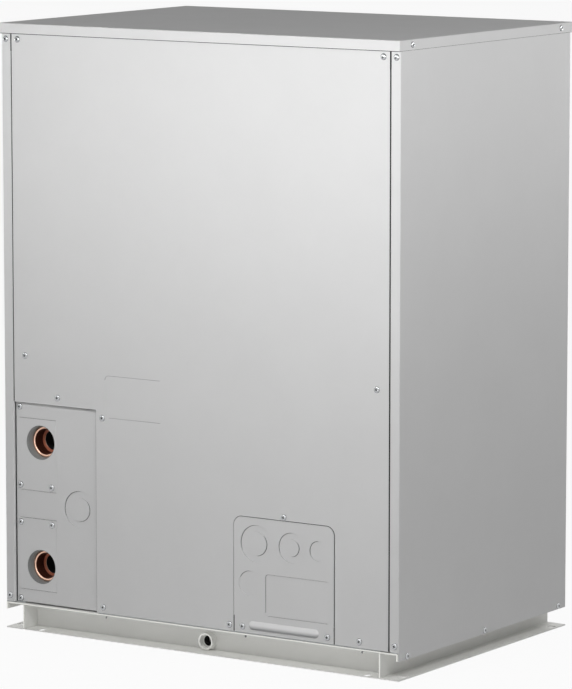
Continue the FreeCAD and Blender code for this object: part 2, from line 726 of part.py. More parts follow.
def access_rim(opening_x, opening_z):
    """The joggled rim behind the access panel, which stops above the sill."""
    y = (FRONT + SKIN, FRONT + 2 * SKIN + SEAT)
    through = (y[0] - SKIN, y[1] + SKIN)
    corner = ACCESS_CORNER + ACCESS_GAP
    wide = (opening_x[0] - SKIN, opening_x[1] + SKIN)
    outer = rounded_plate(wide, (opening_z[0], opening_z[1] + SKIN), y, corner + SKIN, "top")
    seat = rounded_plate(opening_x, opening_z, (y[0], y[0] + SEAT), corner, "top")
    inner_x = (ACCESS_X[0] + RIM_WIDTH, ACCESS_X[1] - RIM_WIDTH)
    inner = rounded_plate(inner_x, (opening_z[0], ACCESS_TOP - RIM_WIDTH), through, RIM_CORNER, "top")
    below = block((wide[0] - SKIN, wide[1] + SKIN), through, (opening_z[0] - SKIN, RIM_BOTTOM))
    return outer.cut(group([seat, inner, below]))


def double_knockout(x, y, z, outer, inner):
    """The shallow ring between the two scored circles of a double knock-out."""
    return flat_ring(outer, inner, (x, y - SKIN, z), REARWARD, KNOCKOUT_DEPTH + SKIN, KNOCKOUT_SIDES)


def single_knockout(x, y, z, outer):
    return bar(outer, (x, y - SKIN, z), REARWARD, KNOCKOUT_DEPTH + SKIN, KNOCKOUT_SIDES)


def bead():
    """The long raised bead near the access panel's foot, with sloped sides and round ends."""
    left = ACCESS_X[0] + BEAD_START
    ends = ((left + BEAD_LENGTH - BEAD_RADIUS, -90), (left + BEAD_RADIUS, 90))
    sections = []
    for share, proud in BEAD_SECTIONS:
        section = []
        for centre, first in ends:
            for step in range(7):
                angle = math.radians(first + step * 30)
                x = centre + share * BEAD_RADIUS * math.cos(angle)
                z = BEAD_Z + share * BEAD_RADIUS * math.sin(angle)
                section.append(Vector(x, FRONT - proud * BEAD_PROUD, z))
        sections.append(section)
    return faceted(sections)


def access_panel():
    left, y = ACCESS_X[0], FRONT
    panel = rounded_plate(ACCESS_X, (PANEL_BOTTOM, ACCESS_TOP), (y, y + SKIN), ACCESS_CORNER, "top")
    field_x = (left + CABLE_FIELD_X[0], left + CABLE_FIELD_X[1])
    cuts = [
        double_knockout(left + WIDE_KNOCKOUT[0], y, KNOCKOUT_ROW, *WIDE_KNOCKOUT[1:]),
        double_knockout(left + MIDDLE_KNOCKOUT[0], y, KNOCKOUT_ROW, *MIDDLE_KNOCKOUT[1:]),
        single_knockout(left + SMALL_KNOCKOUT[0], y, KNOCKOUT_ROW, SMALL_KNOCKOUT[1]),
        single_knockout(left + LOW_KNOCKOUT[0], y, LOW_KNOCKOUT_Z, LOW_KNOCKOUT[1]),
        rounded_plate(field_x, CABLE_FIELD_Z, (y - SKIN, y + KNOCKOUT_DEPTH), CABLE_FIELD_CORNER),
    ]
    cuts += [screw_hole(p, FORWARD) for p in access_screws()]
    return join(panel, bead()).cut(group(cuts))


def water_pipe_panel():
    """The recessed panel, whose right and top margins lie behind the front panel."""
    left, right, top = -FRONT_EDGE, NOTCH_RIGHT, NOTCH_TOP
    deep = (FRONT + WATER_RECESS, FRONT + WATER_RECESS + SKIN)
    lap = (FRONT + SKIN, FRONT + 2 * SKIN)
    across = (lap[0], deep[1])
    return_left = left + SKIN + FOLD + SEAT
    panel = join(
        block((left, right + SKIN), deep, (WATER_BOTTOM, top + SKIN)),
        block((right, right + SKIN), across, (WATER_BOTTOM, top + SKIN)),
        block((return_left, right + SKIN), across, (top, top + SKIN)),
        block((right, right + WATER_LAP), lap, (WATER_BOTTOM, top + WATER_LAP)),
        block((return_left, right + WATER_LAP), lap, (top, top + WATER_LAP)),
    )
    y, wide = deep[0], PIPE_HOLE + PANEL_HOLE_MARGIN
    cuts = [bar(wide, (PIPE_X, y - SKIN, z), REARWARD, 3 * SKIN) for z in (UPPER_PIPE_Z, LOWER_PIPE_Z)]
    cuts.append(double_knockout(right - WATER_KNOCKOUT_INSET, y, WATER_KNOCKOUT_Z, *WATER_KNOCKOUT))
    cuts += [screw_hole(p, FORWARD) for p in water_panel_screws() + all_plate_screws() + notch_screws()]
    return panel.cut(group(cuts))


def pipe_plate(bottom, pipe_z):
    y = (FRONT + WATER_RECESS - PLATE_THICK, FRONT + WATER_RECESS)
    plate = block((PLATE_LEFT, PLATE_LEFT + PLATE_WIDTH), y, (bottom, bottom + PLATE_HEIGHT))
    cuts = [bar(PIPE_HOLE, (PIPE_X, y[0] - SKIN, pipe_z), REARWARD, 3 * SKIN, HOLE_SIDES)]
    cuts += [screw_hole(p, FORWARD) for p in all_plate_screws()]
    return plate.cut(group(cuts))


def rear_panel():
    return mirror_y(folded_panel()).cut(group([screw_hole(p, REARWARD) for p in rear_panel_screws()]))


# Water circuit
def plate_heat_exchanger():
    width, depth, height = PHE_SIZE
    x = around(PHE_X, width)
    y = (PHE_FRONT, PHE_FRONT + depth)
    thick = PHE_PLATE_THICK
    plates = []
    levels = (y[0], y[0] + thick, y[1] - thick, y[1])
    for inset, near, far in zip((0.0, PHE_STEP, 0.0), levels, levels[1:]):
        z = (PHE_LOW + inset, PHE_LOW + height - inset)
        plate = block((x[0] + inset, x[1] - inset), (near, far), z)
        corners = [e for e in plate.Edges if max(e.BoundBox.XLength, e.BoundBox.ZLength) < 0.01]
        plates.append(plate.makeChamfer(PHE_CORNER - inset, corners))
    ports = []
    for port_x, radius in ((PIPE_X, WATER_PIPE_RADIUS), (PIPE_X + PHE_PORT_SPACING, GAS_RADIUS)):
        for port_z in (LOWER_PIPE_Z, PHE_HIGH_PORT):
            start = (port_x, y[0] - PHE_PORT_LENGTH, port_z)
            ports.append(bar(radius + PHE_PORT_WALL, start, REARWARD, PHE_PORT_LENGTH, PIPE_SIDES))
    return join(*plates, *ports)


def exchanger_stand():
    """A stool under the exchanger and a back plate with two straps that hold it upright."""
    width, depth, height = PHE_SIZE
    seat = PHE_LOW - SEAT
    foot = PAN_TOP + RAIL_SHEET
    x = around(PHE_X, width - 2 * PHE_CORNER)
    y = (PHE_FRONT + STAND_INSET, PHE_FRONT + depth - STAND_INSET)
    back_y = y[1] + STAND_REACH
    path = [(y[0] - STAND_FOOT, foot), (y[0], foot), (y[0], seat)]
    path += [(y[1], seat), (y[1], foot), (back_y, foot)]
    stool = side_sheet(path, -RAIL_SHEET, x)
    strap_z = (PHE_LOW + height / 2, PHE_LOW + height / 2 + STRAP_HEIGHT)
    back = block(x, (back_y - RAIL_SHEET, back_y), (PAN_TOP, strap_z[1] + STRAP_HEIGHT))
    strap_y = (PHE_FRONT + depth + SEAT, back_y)
    straps = [block((s, s + RAIL_SHEET), strap_y, strap_z) for s in (x[0], x[1] - RAIL_SHEET)]
    return join(stool, back, *straps)


def water_socket(z):
    mouth = (PIPE_X, FRONT + SOCKET_SET_BACK, z)
    body = bar(SOCKET_RADIUS, mouth, REARWARD, SOCKET_LENGTH, VESSEL_SIDES)
    bore = rod(SOCKET_BORE, mouth, REARWARD, SOCKET_BORE_DEPTH)
    step = bar(SOCKET_STEP_BORE, mouth, REARWARD, SOCKET_LENGTH)
    return body.cut(group([bore, step]))


def pipe_collar(z):
    start = (PIPE_X, FRONT + WATER_RECESS + SKIN + SEAT, z)
    inner = SOCKET_RADIUS + COLLAR_GAP
    return flat_ring(inner + COLLAR_WALL, inner, start, REARWARD, COLLAR_LENGTH, KNOCKOUT_SIDES)


def water_pipe_run():
    """Where the water pipes start behind the sockets and end at the exchanger's ports."""
    start = FRONT + SOCKET_SET_BACK + SOCKET_LENGTH + SEAT
    return start, PHE_FRONT - PHE_PORT_LENGTH - SEAT


def water_inlet_pipe():
    start, end = water_pipe_run()
    place = (PIPE_X, start, LOWER_PIPE_Z)
    return flat_ring(WATER_PIPE_RADIUS, SOCKET_STEP_BORE, place, REARWARD, end - start)


def water_outlet_pipe():
    start, end = water_pipe_run()
    middle = (start + end) / 2
    path = [(start, UPPER_PIPE_Z), (middle, UPPER_PIPE_Z), (middle, PHE_HIGH_PORT), (end, PHE_HIGH_PORT)]
    return pipe([(PIPE_X, y, z) for y, z in path], WATER_PIPE_RADIUS, WATER_PIPE_RADIUS + PHE_PORT_WALL)


# Compressor
def foot_spots():
    reach = FOOT_CIRCLE / math.sqrt(2)
    return [(COMP_X + a * reach, COMP_Y + b * reach) for a in (-1, 1) for b in (-1, 1)]


def compressor():
    """The closed hermetic shell with its foot plate and terminal cover."""
    shell = vessel(COMP_X, COMP_Y, (COMP_BOTTOM, COMP_TOP), COMP_RADIUS, COMP_CHAMFER)
    side = FOOT_CIRCLE * math.sqrt(2) + 2 * FOOT_MARGIN
    plate = block(around(COMP_X, side), around(COMP_Y, side), (COMP_BOTTOM, COMP_BOTTOM + FOOT_PLATE))
    hole = FOOT_NECK + 2 * SEAT
    spots = [(x, y, COMP_BOTTOM - FOOT_PLATE) for x, y in foot_spots()]
    holes = [bar(hole, spot, UPWARD, 3 * FOOT_PLATE, PIPE_SIDES) for spot in spots]
    front = COMP_Y - COMP_RADIUS - TERMINAL_PROUD
    width, depth, height = TERMINAL_COVER
    cover = block(around(COMP_X, width), (front, front + depth), (TERMINAL_Z, TERMINAL_Z + height))
    return join(shell, plate.cut(group(holes)), cover)


def compressor_mounts():
    feet = []
    for x, y in foot_spots():
        foot = bar(FOOT_RADIUS, (x, y, PAN_TOP), UPWARD, MOUNT_HEIGHT - SEAT, PIPE_SIDES)
        neck = bar(FOOT_NECK, (x, y, PAN_TOP), UPWARD, MOUNT_HEIGHT + MOUNT_PROUD, PIPE_SIDES)
        feet.append(join(foot, neck))
    return group(feet)


# Rest of the refrigerant circuit
def accumulator():
    body = vessel(ACC_X, ACC_Y, ACC_Z, ACC_RADIUS, ACC_CHAMFER)
    outer = ACC_RADIUS - ACC_CHAMFER
    foot = (ACC_X, ACC_Y, PAN_TOP)
    return join(body, flat_ring(outer, outer - ACC_LEG_WALL, foot, UPWARD, ACC_LEG + SKIN))


def four_way_valve_body():
    start = (FWV_X - FWV_LENGTH / 2, FWV_Y, FWV_Z)
    reach = FWV_RADIUS + FWV_STUB
    stubs = [bar(DISCHARGE_RADIUS + STUB_WALL, (FWV_X, FWV_Y, FWV_Z), UPWARD, reach, PIPE_SIDES)]
    for i, radius in ((-1, GAS_RADIUS), (0, SUCTION_RADIUS), (1, GAS_RADIUS)):
        place = (FWV_X + i * FWV_PITCH, FWV_Y, FWV_Z)
        stubs.append(bar(radius + STUB_WALL, place, DOWNWARD, reach, PIPE_SIDES))
    inside = FWV_LENGTH - 2 * FWV_WALL
    chamber = bar(FWV_RADIUS - FWV_WALL, (start[0] + FWV_WALL, FWV_Y, FWV_Z), RIGHTWARD, inside)
    return join(bar(FWV_RADIUS, start, RIGHTWARD, FWV_LENGTH), *stubs).cut(chamber)


def four_way_valve_slide():
    """Two pistons on a stem with the sliding block between them, at the left end of travel."""
    radius = FWV_RADIUS - FWV_WALL - PISTON_CLEARANCE
    left = FWV_X - FWV_LENGTH / 2 + FWV_WALL + FWV_END_GAP
    span = FWV_LENGTH - 2 * FWV_WALL - 2 * FWV_END_GAP - FWV_TRAVEL
    stem = bar(radius / 4, (left, FWV_Y, FWV_Z), RIGHTWARD, span)
    starts = (left, left + span - PISTON_LENGTH)
    pistons = [bar(radius, (x, FWV_Y, FWV_Z), RIGHTWARD, PISTON_LENGTH) for x in starts]
    length, width, height = SLIDE_BLOCK
    high = FWV_Z + radius / 4
    cup = block(around(left + span / 2, length), around(FWV_Y, width), (high - height, high))
    return join(stem, cup, *pistons)


def service_valve_body(x):
    """A quarter-turn stop valve: line side on top, field side below, bonnet in front."""
    half = VALVE_BLOCK / 2
    y, z = SERVICE_Y, SERVICE_Z
    body = block(around(x, VALVE_BLOCK), around(y, VALVE_BLOCK), around(z, VALVE_BLOCK))
    reach = half + VALVE_STUB
    stubs = bar(GAS_RADIUS + STUB_WALL, (x, y, z - reach), UPWARD, 2 * reach, PIPE_SIDES)
    bonnet = bar(STEM_RADIUS + BONNET_WALL, (x, y - half, z), FORWARD, BONNET_LENGTH)
    bracket = block(around(x, BRACKET_WIDTH), (y + half - VALVE_WALL, y + half), (PAN_TOP, z))
    deep = VALVE_BLOCK - 2 * VALVE_WALL
    cavity = bar(PLUG_RADIUS + PLUG_CLEARANCE, (x, y - half + VALVE_WALL, z), REARWARD, deep)
    bore = bar(GAS_RADIUS - STUB_WALL, (x, y, z - reach), UPWARD, 2 * reach, PIPE_SIDES)
    stem_bore = bar(STEM_RADIUS + PLUG_CLEARANCE, (x, y, z), FORWARD, half + BONNET_LENGTH)
    return join(body, stubs, bonnet, bracket).cut(group([cavity, bore, stem_bore]))


def service_valve_plug(x):
    """The plug with its stem, open: its bore stands in line with the pipes."""
    half = VALVE_BLOCK / 2
    y, z = SERVICE_Y, SERVICE_Z
    deep = VALVE_BLOCK - 2 * VALVE_WALL - 2 * PLUG_PLAY
    plug = bar(PLUG_RADIUS, (x, y - half + VALVE_WALL + PLUG_PLAY, z), REARWARD, deep)
    reach = half + BONNET_LENGTH + STEM_PROUD
    stem = bar(STEM_RADIUS, (x, y, z), FORWARD, reach)
    key = bar(STEM_RADIUS - STUB_WALL, (x, y - reach, z), REARWARD, KEY_DEPTH, 6)
    bore = bar(GAS_RADIUS - STUB_WALL, (x, y, z - half), UPWARD, VALVE_BLOCK, PIPE_SIDES)
    return join(plug, stem).cut(group([bore, key]))


def expansion_valve_body():
    low, high = EXV_Z
    body = bar(EXV_RADIUS, (EXV_X, SERVICE_Y, low), UPWARD, EXV_HEIGHT)
    coil_low = high + COIL_PROUD - COIL_HEIGHT
    coil = bar(EXV_RADIUS + COIL_WALL, (EXV_X, SERVICE_Y, coil_low), UPWARD, COIL_HEIGHT)
    outlet = (EXV_X, SERVICE_Y, low + EXV_OUTLET_RISE)
    stub = bar(LIQUID_RADIUS + STUB_WALL, outlet, RIGHTWARD, EXV_RADIUS + LIQUID_RADIUS, PIPE_SIDES)
    seat = (EXV_X, SERVICE_Y, low + EXV_SEAT)
    deep = EXV_HEIGHT - EXV_SEAT - COIL_PROUD
    chamber = bar(NEEDLE_RADIUS + NEEDLE_CLEARANCE, seat, UPWARD, deep)
    orifice = bar(NEEDLE_RADIUS * NEEDLE_TIP, (EXV_X, SERVICE_Y, low), UPWARD, EXV_SEAT)
    return join(body, coil, stub).cut(group([chamber, orifice]))


def expansion_valve_needle():
    """The needle, shut on its seat; it lifts to open."""
    low = EXV_Z[0] + EXV_SEAT + SEAT
    top = EXV_Z[1] - COIL_PROUD - NEEDLE_TRAVEL - NEEDLE_CLEARANCE
    levels = ((NEEDLE_RADIUS * NEEDLE_TIP, low), (NEEDLE_RADIUS, low + NEEDLE_CONE), (NEEDLE_RADIUS, top))
    return faceted([regular(BAR_SIDES, r, Vector(EXV_X, SERVICE_Y, z), UPWARD) for r, z in levels])


def on_top(x, y, offset, z):
    return (x + offset[0], y + offset[1], z)


def discharge_pipe():
    start = on_top(COMP_X, COMP_Y, COMP_OUTLET, COMP_TOP + SEAT)
    level = FWV_Z + DISCHARGE_RISE
    end = FWV_Z + FWV_RADIUS + FWV_STUB + SEAT
    points = [start, start[:2] + (level,), (FWV_X, FWV_Y, level), (FWV_X, FWV_Y, end)]
    return pipe(points, DISCHARGE_RADIUS, 2 * DISCHARGE_RADIUS)


def suction_pipe():
    start = on_top(ACC_X, ACC_Y, ACC_OUTLET, ACC_Z[1] + SEAT)
    end = on_top(COMP_X, COMP_Y, COMP_INLET, COMP_TOP + SEAT)
    level = COMP_TOP + SUCTION_RISE
    points = [start, start[:2] + (level,), end[:2] + (level,), end]
    return pipe(points, SUCTION_RADIUS, 2 * SUCTION_RADIUS)


def under_valve(place):
    """A point just under one of the four-way valve's three lower stubs."""
    return (FWV_X + place * FWV_PITCH, FWV_Y, FWV_Z - FWV_RADIUS - FWV_STUB - SEAT)


def return_pipe():
    start = under_valve(0)
    end = on_top(ACC_X, ACC_Y, ACC_INLET, ACC_Z[1] + SEAT)
    level = (start[2] + end[2]) / 2
    points = [start, start[:2] + (level,), end[:2] + (level,), end]
    return pipe(points, SUCTION_RADIUS, 2 * SUCTION_RADIUS)


def exchanger_gas_pipe():
    port_x = PIPE_X + PHE_PORT_SPACING
    end = under_valve(-1)
    path = [(port_x, PHE_FRONT - PHE_PORT_LENGTH - SEAT), (port_x, SERVICE_Y)]
    path += [(end[0], SERVICE_Y), (end[0], FWV_Y)]
    return pipe([(x, y, PHE_HIGH_PORT) for x, y in path] + [end], GAS_RADIUS, 2 * GAS_RADIUS)


def gas_line():
    start = under_valve(1)
    level = FWV_Z - GAS_LINE_DROP
    end = (GAS_VALVE_X, SERVICE_Y, SERVICE_Z + VALVE_BLOCK / 2 + VALVE_STUB + SEAT)
    points = [start, start[:2] + (level,), (GAS_VALVE_X, SERVICE_Y, level), end]
    return pipe(points, GAS_RADIUS, 2 * GAS_RADIUS)


def exchanger_liquid_pipe():
    port_x = PIPE_X + PHE_PORT_SPACING
    path = [(port_x, PHE_FRONT - PHE_PORT_LENGTH - SEAT), (port_x, SERVICE_Y), (EXV_X, SERVICE_Y)]
    points = [(x, y, LOWER_PIPE_Z) for x, y in path] + [(EXV_X, SERVICE_Y, EXV_Z[0] - SEAT)]
    return pipe(points, LIQUID_RADIUS, 2 * LIQUID_RADIUS)


def liquid_line():
    level = EXV_Z[0] + EXV_OUTLET_RISE
    end = (LIQUID_VALVE_X, SERVICE_Y, SERVICE_Z + VALVE_BLOCK / 2 + VALVE_STUB + SEAT)
    start = (EXV_X + EXV_RADIUS + LIQUID_RADIUS + SEAT, SERVICE_Y, level)
    return pipe([start, end[:2] + (level,), end], LIQUID_RADIUS, 2 * LIQUID_RADIUS)


# Control box
def control_box():
    inside_x = (BOX_X[0] + SKIN, BOX_X[1] - SKIN)
    inside = block(inside_x, (BOX_Y[0] - SKIN, BOX_Y[1] - SKIN), (BOX_Z[0] + SKIN, BOX_Z[1] - SKIN))
    return block(BOX_X, BOX_Y, BOX_Z).cut(inside)


def control_box_cover():
    y = BOX_Y[0] - SEAT
    return block(BOX_X, (y - SKIN, y), BOX_Z)


def main_board():
    back = BOX_Y[1] - SKIN
    left = BOX_X[0] + BOARD_MARGIN
    x, z = (left, left + BOARD_SIZE[0]), around(BOX_MIDDLE, BOARD_SIZE[1])
    face = back - STANDOFF - BOARD_SHEET
    parts = [block(x, (face, face + BOARD_SHEET), z)]
    inset = 2 * STANDOFF_RADIUS
    for px in (x[0] + inset, x[1] - inset):
        for pz in (z[0] + inset, z[1] - inset):
            parts.append(bar(STANDOFF_RADIUS, (px, face, pz), REARWARD, BOARD_SHEET + STANDOFF - SEAT, 6))
    middle = (x[0] + x[1]) / 2
    for (width, depth, height), centre in ((TERMINAL_BLOCK, z[0] + 2 * BOARD_MARGIN), (CHIP, BOX_MIDDLE)):
        parts.append(block(around(middle, width), (face - depth, face), around(centre, height)))
    return join(*parts)


def power_module():
    """The inverter board with its finned heat sink, inside the box."""
    back = BOX_Y[1] - SKIN - SEAT
    right = BOX_X[1] - MODULE_MARGIN
    x, z = (right - MODULE_SIZE[0], right), around(BOX_MIDDLE, MODULE_SIZE[1])
    base = (back - FIN_HEIGHT - MODULE_BASE, back - FIN_HEIGHT)
    width, depth, height = MODULE_BOARD
    board = block(around((x[0] + x[1]) / 2, width), (base[0] - depth, base[0]), around(BOX_MIDDLE, height))
    parts = [block(x, base, z), board]
    pitch = (MODULE_SIZE[0] - FIN_SHEET) / (FIN_COUNT - 1)
    for i in range(FIN_COUNT):
        fin = x[0] + i * pitch
        parts.append(block((fin, fin + FIN_SHEET), (base[1], back), z))
    return join(*parts)


# Screws in groups
def front_screws():
    spots = front_panel_screws() + strip_screws(FRONT) + access_screws()
    spots += water_panel_screws() + all_plate_screws()
    return group([screw(p, FORWARD) for p in spots])


def side_panel_screws():
    shapes = []
    for side, outward in ((-1, LEFTWARD), (1, RIGHTWARD)):
        shapes += [screw(p, outward) for p in side_screws(side) + lid_screws(side)]
    return group(shapes)


def rear_screws():
    return group([screw(p, REARWARD) for p in rear_panel_screws() + strip_screws(BACK)])


def sill_screw_group():
    return group([screw(p, UPWARD) for p in sill_screws()])


NODES = {
    "base_pan": base_pan(),
    "base_rail_left": mirror_x(base_rail()),
    "base_rail_right": base_rail(),
    "base_front_apron": base_apron().cut(drain_clearance()),
    "base_rear_apron": mirror_y(base_apron()),
    "drain_socket": drain_socket(),
    "front_sill": front_sill(),
    "post_front_left": front_post(),
    "post_front_right": mirror_x(front_post()),
    "post_rear_left": mirror_y(front_post()),
    "post_rear_right": mirror_x(mirror_y(front_post())),
    "top_beam_front": top_beam(),
    "top_beam_rear": mirror_y(top_beam()),
    "side_panel_left": mirror_x(side_panel()),
    "side_panel_right": side_panel(),
    "rear_panel": rear_panel(),
    "top_panel": top_panel(),
    "front_panel": front_panel(),
    "water_pipe_panel": water_pipe_panel(),
    "pipe_plate_upper": pipe_plate(UPPER_PLATE_BOTTOM, UPPER_PIPE_Z),
    "pipe_plate_lower": pipe_plate(LOWER_PLATE_BOTTOM, LOWER_PIPE_Z),
    "access_panel": access_panel(),
    "screws_front": front_screws(),
    "screws_sides": side_panel_screws(),
    "screws_rear": rear_screws(),
    "screws_sill": sill_screw_group(),
    "plate_heat_exchanger": plate_heat_exchanger(),
    "exchanger_stand": exchanger_stand(),
    "water_inlet_socket": water_socket(LOWER_PIPE_Z),
    "water_outlet_socket": water_socket(UPPER_PIPE_Z),
    "water_inlet_pipe": water_inlet_pipe(),
    "water_outlet_pipe": water_outlet_pipe(),
    "pipe_collars": group([pipe_collar(LOWER_PIPE_Z), pipe_collar(UPPER_PIPE_Z)]),
    "compressor": compressor(),
    "compressor_mounts": compressor_mounts(),
    "accumulator": accumulator(),
    "four_way_valve_body": four_way_valve_body(),
    "four_way_valve_slide": four_way_valve_slide(),
    "gas_valve_body": service_valve_body(GAS_VALVE_X),
    "gas_valve_plug": service_valve_plug(GAS_VALVE_X),
    "liquid_valve_body": service_valve_body(LIQUID_VALVE_X),
    "liquid_valve_plug": service_valve_plug(LIQUID_VALVE_X),
    "expansion_valve_body": expansion_valve_body(),
    "expansion_valve_needle": expansion_valve_needle(),
    "discharge_pipe": discharge_pipe(),
    "suction_pipe": suction_pipe(),
    "return_pipe": return_pipe(),
    "exchanger_gas_pipe": exchanger_gas_pipe(),
    "gas_line": gas_line(),
    "exchanger_liquid_pipe": exchanger_liquid_pipe(),
    "liquid_line": liquid_line(),
    "control_box": control_box(),
    "control_box_cover": control_box_cover(),
    "main_board": main_board(),
    "power_module": power_module(),
}

for name, shape in NODES.items():
    shape.exportStep(f"parts/{name}.step")
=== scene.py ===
import math

import bmesh
import bpy
from bpy.props import FloatProperty, FloatVectorProperty, IntProperty, PointerProperty
from mathutils import Matrix, Vector


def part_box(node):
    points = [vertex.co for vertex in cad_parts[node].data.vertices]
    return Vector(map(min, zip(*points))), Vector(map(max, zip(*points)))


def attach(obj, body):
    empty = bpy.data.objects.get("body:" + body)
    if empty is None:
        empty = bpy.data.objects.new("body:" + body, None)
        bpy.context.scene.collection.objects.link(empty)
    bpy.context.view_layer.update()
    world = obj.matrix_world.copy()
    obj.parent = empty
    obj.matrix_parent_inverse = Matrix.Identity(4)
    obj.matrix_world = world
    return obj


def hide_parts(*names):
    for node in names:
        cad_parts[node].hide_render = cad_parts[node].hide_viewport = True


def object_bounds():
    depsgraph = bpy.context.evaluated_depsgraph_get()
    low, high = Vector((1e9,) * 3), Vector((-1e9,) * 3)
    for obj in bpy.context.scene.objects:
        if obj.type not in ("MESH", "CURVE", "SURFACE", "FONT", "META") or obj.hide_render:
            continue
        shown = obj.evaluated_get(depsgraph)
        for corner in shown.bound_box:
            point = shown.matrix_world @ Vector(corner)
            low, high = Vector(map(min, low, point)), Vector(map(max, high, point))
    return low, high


bl_info = {
    "name": "Water-source outdoor unit",
    "version": (1, 0, 0),
    "blender": (4, 5, 0),
    "location": "View3D > Sidebar > Unit",
    "description": "Dresses an outdoor unit with sheet-metal finishes, screws, sockets and pressed panels",
    "category": "Object",
}

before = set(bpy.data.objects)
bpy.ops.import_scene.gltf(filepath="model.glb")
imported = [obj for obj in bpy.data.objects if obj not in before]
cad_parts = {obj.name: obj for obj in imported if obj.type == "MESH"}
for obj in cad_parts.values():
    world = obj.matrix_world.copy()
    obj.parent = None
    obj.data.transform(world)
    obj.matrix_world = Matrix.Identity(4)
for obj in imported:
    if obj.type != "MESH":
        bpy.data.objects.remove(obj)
CAD_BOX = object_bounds()
MM = 0.001
REARWARD = Vector((0, 1, 0))
UPWARD = Vector((0, 0, 1))
ROOT = "cabinet"

# Where the CAD puts things, read from its nodes
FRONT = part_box("front_panel")[0].y
ACCESS_LOW, ACCESS_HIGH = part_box("access_panel")
WATER_LOW, WATER_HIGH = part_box("water_pipe_panel")
PIPE_PLATES = ("pipe_plate_upper", "pipe_plate_lower")

# Sizes shared with the CAD; the ones without MM are for turned profiles, drawn in millimetres
SHEET = 1.2 * MM
WATER_FACE = FRONT + 6 * MM
WATER_LAP = 22 * MM
WATER_EDGE = WATER_HIGH.x - WATER_LAP
WATER_TOP = WATER_HIGH.z - WATER_LAP
WATER_KNOCKOUT = (-259.3 * MM, 232.1 * MM)
WATER_KNOCKOUT_RADII = (33.3 * MM, 21.5 * MM)
PANEL_FOOT = 51 * MM
RIM_FOOT = 79 * MM
RAIL_FOOT = 37.6 * MM
RAIL_SHEET = 2.3 * MM
DRAIN_Z = 17.9 * MM
DRAIN_RADIUS = 15.4
DRAIN_BORE = 12.05
DRAIN_INNER_BORE = 9.0
DRAIN_LENGTH = 38
SOCKET_RADIUS = 28.7
SOCKET_BORE = 22.35
SOCKET_STEP_BORE = 18.0
SOCKET_BORE_DEPTH = 24.0
SCREW_HEAD_HEIGHT = 2.2 * MM

# The height that the bead's crest runs at, where the bead's painted highlight turns to painted shade, and the
# cable field's depth as a share of the knock-outs'
BEAD_CREST = 61.9 * MM
FIELD_SHARE = 0.6


# Small helpers

def linear(code):
    """An sRGB hex colour as linear red, green, blue and 1."""
    parts = [int(code[i:i + 2], 16) / 255 for i in (1, 3, 5)]
    return [p / 12.92 if p <= 0.04045 else ((p + 0.055) / 1.055) ** 2.4 for p in parts] + [1.0]


def add_node(tree, kind, settings=None, links=None):
    """Adds a node, sets its options and input values, and links its inputs.

    A link comes from the output that is given, or from the first one of a node.
    """
    made = tree.nodes.new(kind)
    for key, value in (settings or {}).items():
        if isinstance(key, str) and key.islower():
            setattr(made, key, value)
        else:
            made.inputs[key].default_value = value
    for key, source in (links or {}).items():
        if isinstance(source, bpy.types.Node):
            source = source.outputs[0]
        tree.links.new(source, made.inputs[key])
    return made


def new_material(name):
    """A new material, its tree, and the place on the object that its textures follow."""
    material = bpy.data.materials.new(name)
    material.use_nodes = True
    tree = material.node_tree
    tree.nodes.clear()
    return material, tree, add_node(tree, "ShaderNodeTexCoord").outputs["Object"]


def close_material(material, shader):
    add_node(material.node_tree, "ShaderNodeOutputMaterial", links={"Surface": shader})
    return material


def smooth_faces(piece, degrees):
    """Shades as one surface the faces that meet at less than an angle."""
    with bpy.context.temp_override(object=piece, active_object=piece, selected_editable_objects=[piece]):
        bpy.ops.object.shade_smooth_by_angle(angle=math.radians(degrees))


def object_from(name, mesh, material, smooth=None):
    made = bpy.data.objects.new(name, mesh)
    bpy.context.scene.collection.objects.link(made)
    mesh.materials.clear()
    mesh.materials.append(material)
    if smooth is not None:
        smooth_faces(made, smooth)
    return made


def settle(made):
    """Applies an object's modifiers."""
    graph = bpy.context.evaluated_depsgraph_get()
    mesh = bpy.data.meshes.new_from_object(made.evaluated_get(graph), depsgraph=graph)
    made.modifiers.clear()
    made.data = mesh


def mount_piece(piece, slot_name, *nodes):
    """Says what a piece rides on and hides the CAD nodes it stands for; the slot name is not used."""
    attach(piece, ROOT)
    if nodes:
        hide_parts(*nodes)


def arc(centre, radius, first, last, steps):
    """Points on an arc between two angles in degrees."""
    turns = [math.radians(first + (last - first) * i / steps) for i in range(steps + 1)]
    return [(centre[0] + radius * math.cos(a), centre[1] + radius * math.sin(a)) for a in turns]


def round_outline(centre, radius, sides=96):
    return arc(centre, radius, 0, 360, sides)[:-1]


def box_outline(x, z, radius, top_only=False):
    """A rectangle with rounded corners, all four or only the top two."""
    outline = []
    corners = ((x[1], z[1], 0), (x[0], z[1], 90), (x[0], z[0], 180), (x[1], z[0], 270))
    for cx, cz, first in corners:
        if top_only and first >= 180:
            outline.append((cx, cz))
            continue
        middle_x = cx - radius if first in (0, 270) else cx + radius
        middle_z = cz - radius if first in (0, 90) else cz + radius
        outline += arc((middle_x, middle_z), radius, first, first + 90, 12)
    return outline


def bridge(bm, a, b):
    """Faces between two closed loops of as many points."""
    for i in range(len(a)):
        j = (i + 1) % len(a)
        bm.faces.new((a[i], a[j], b[j], b[i]))


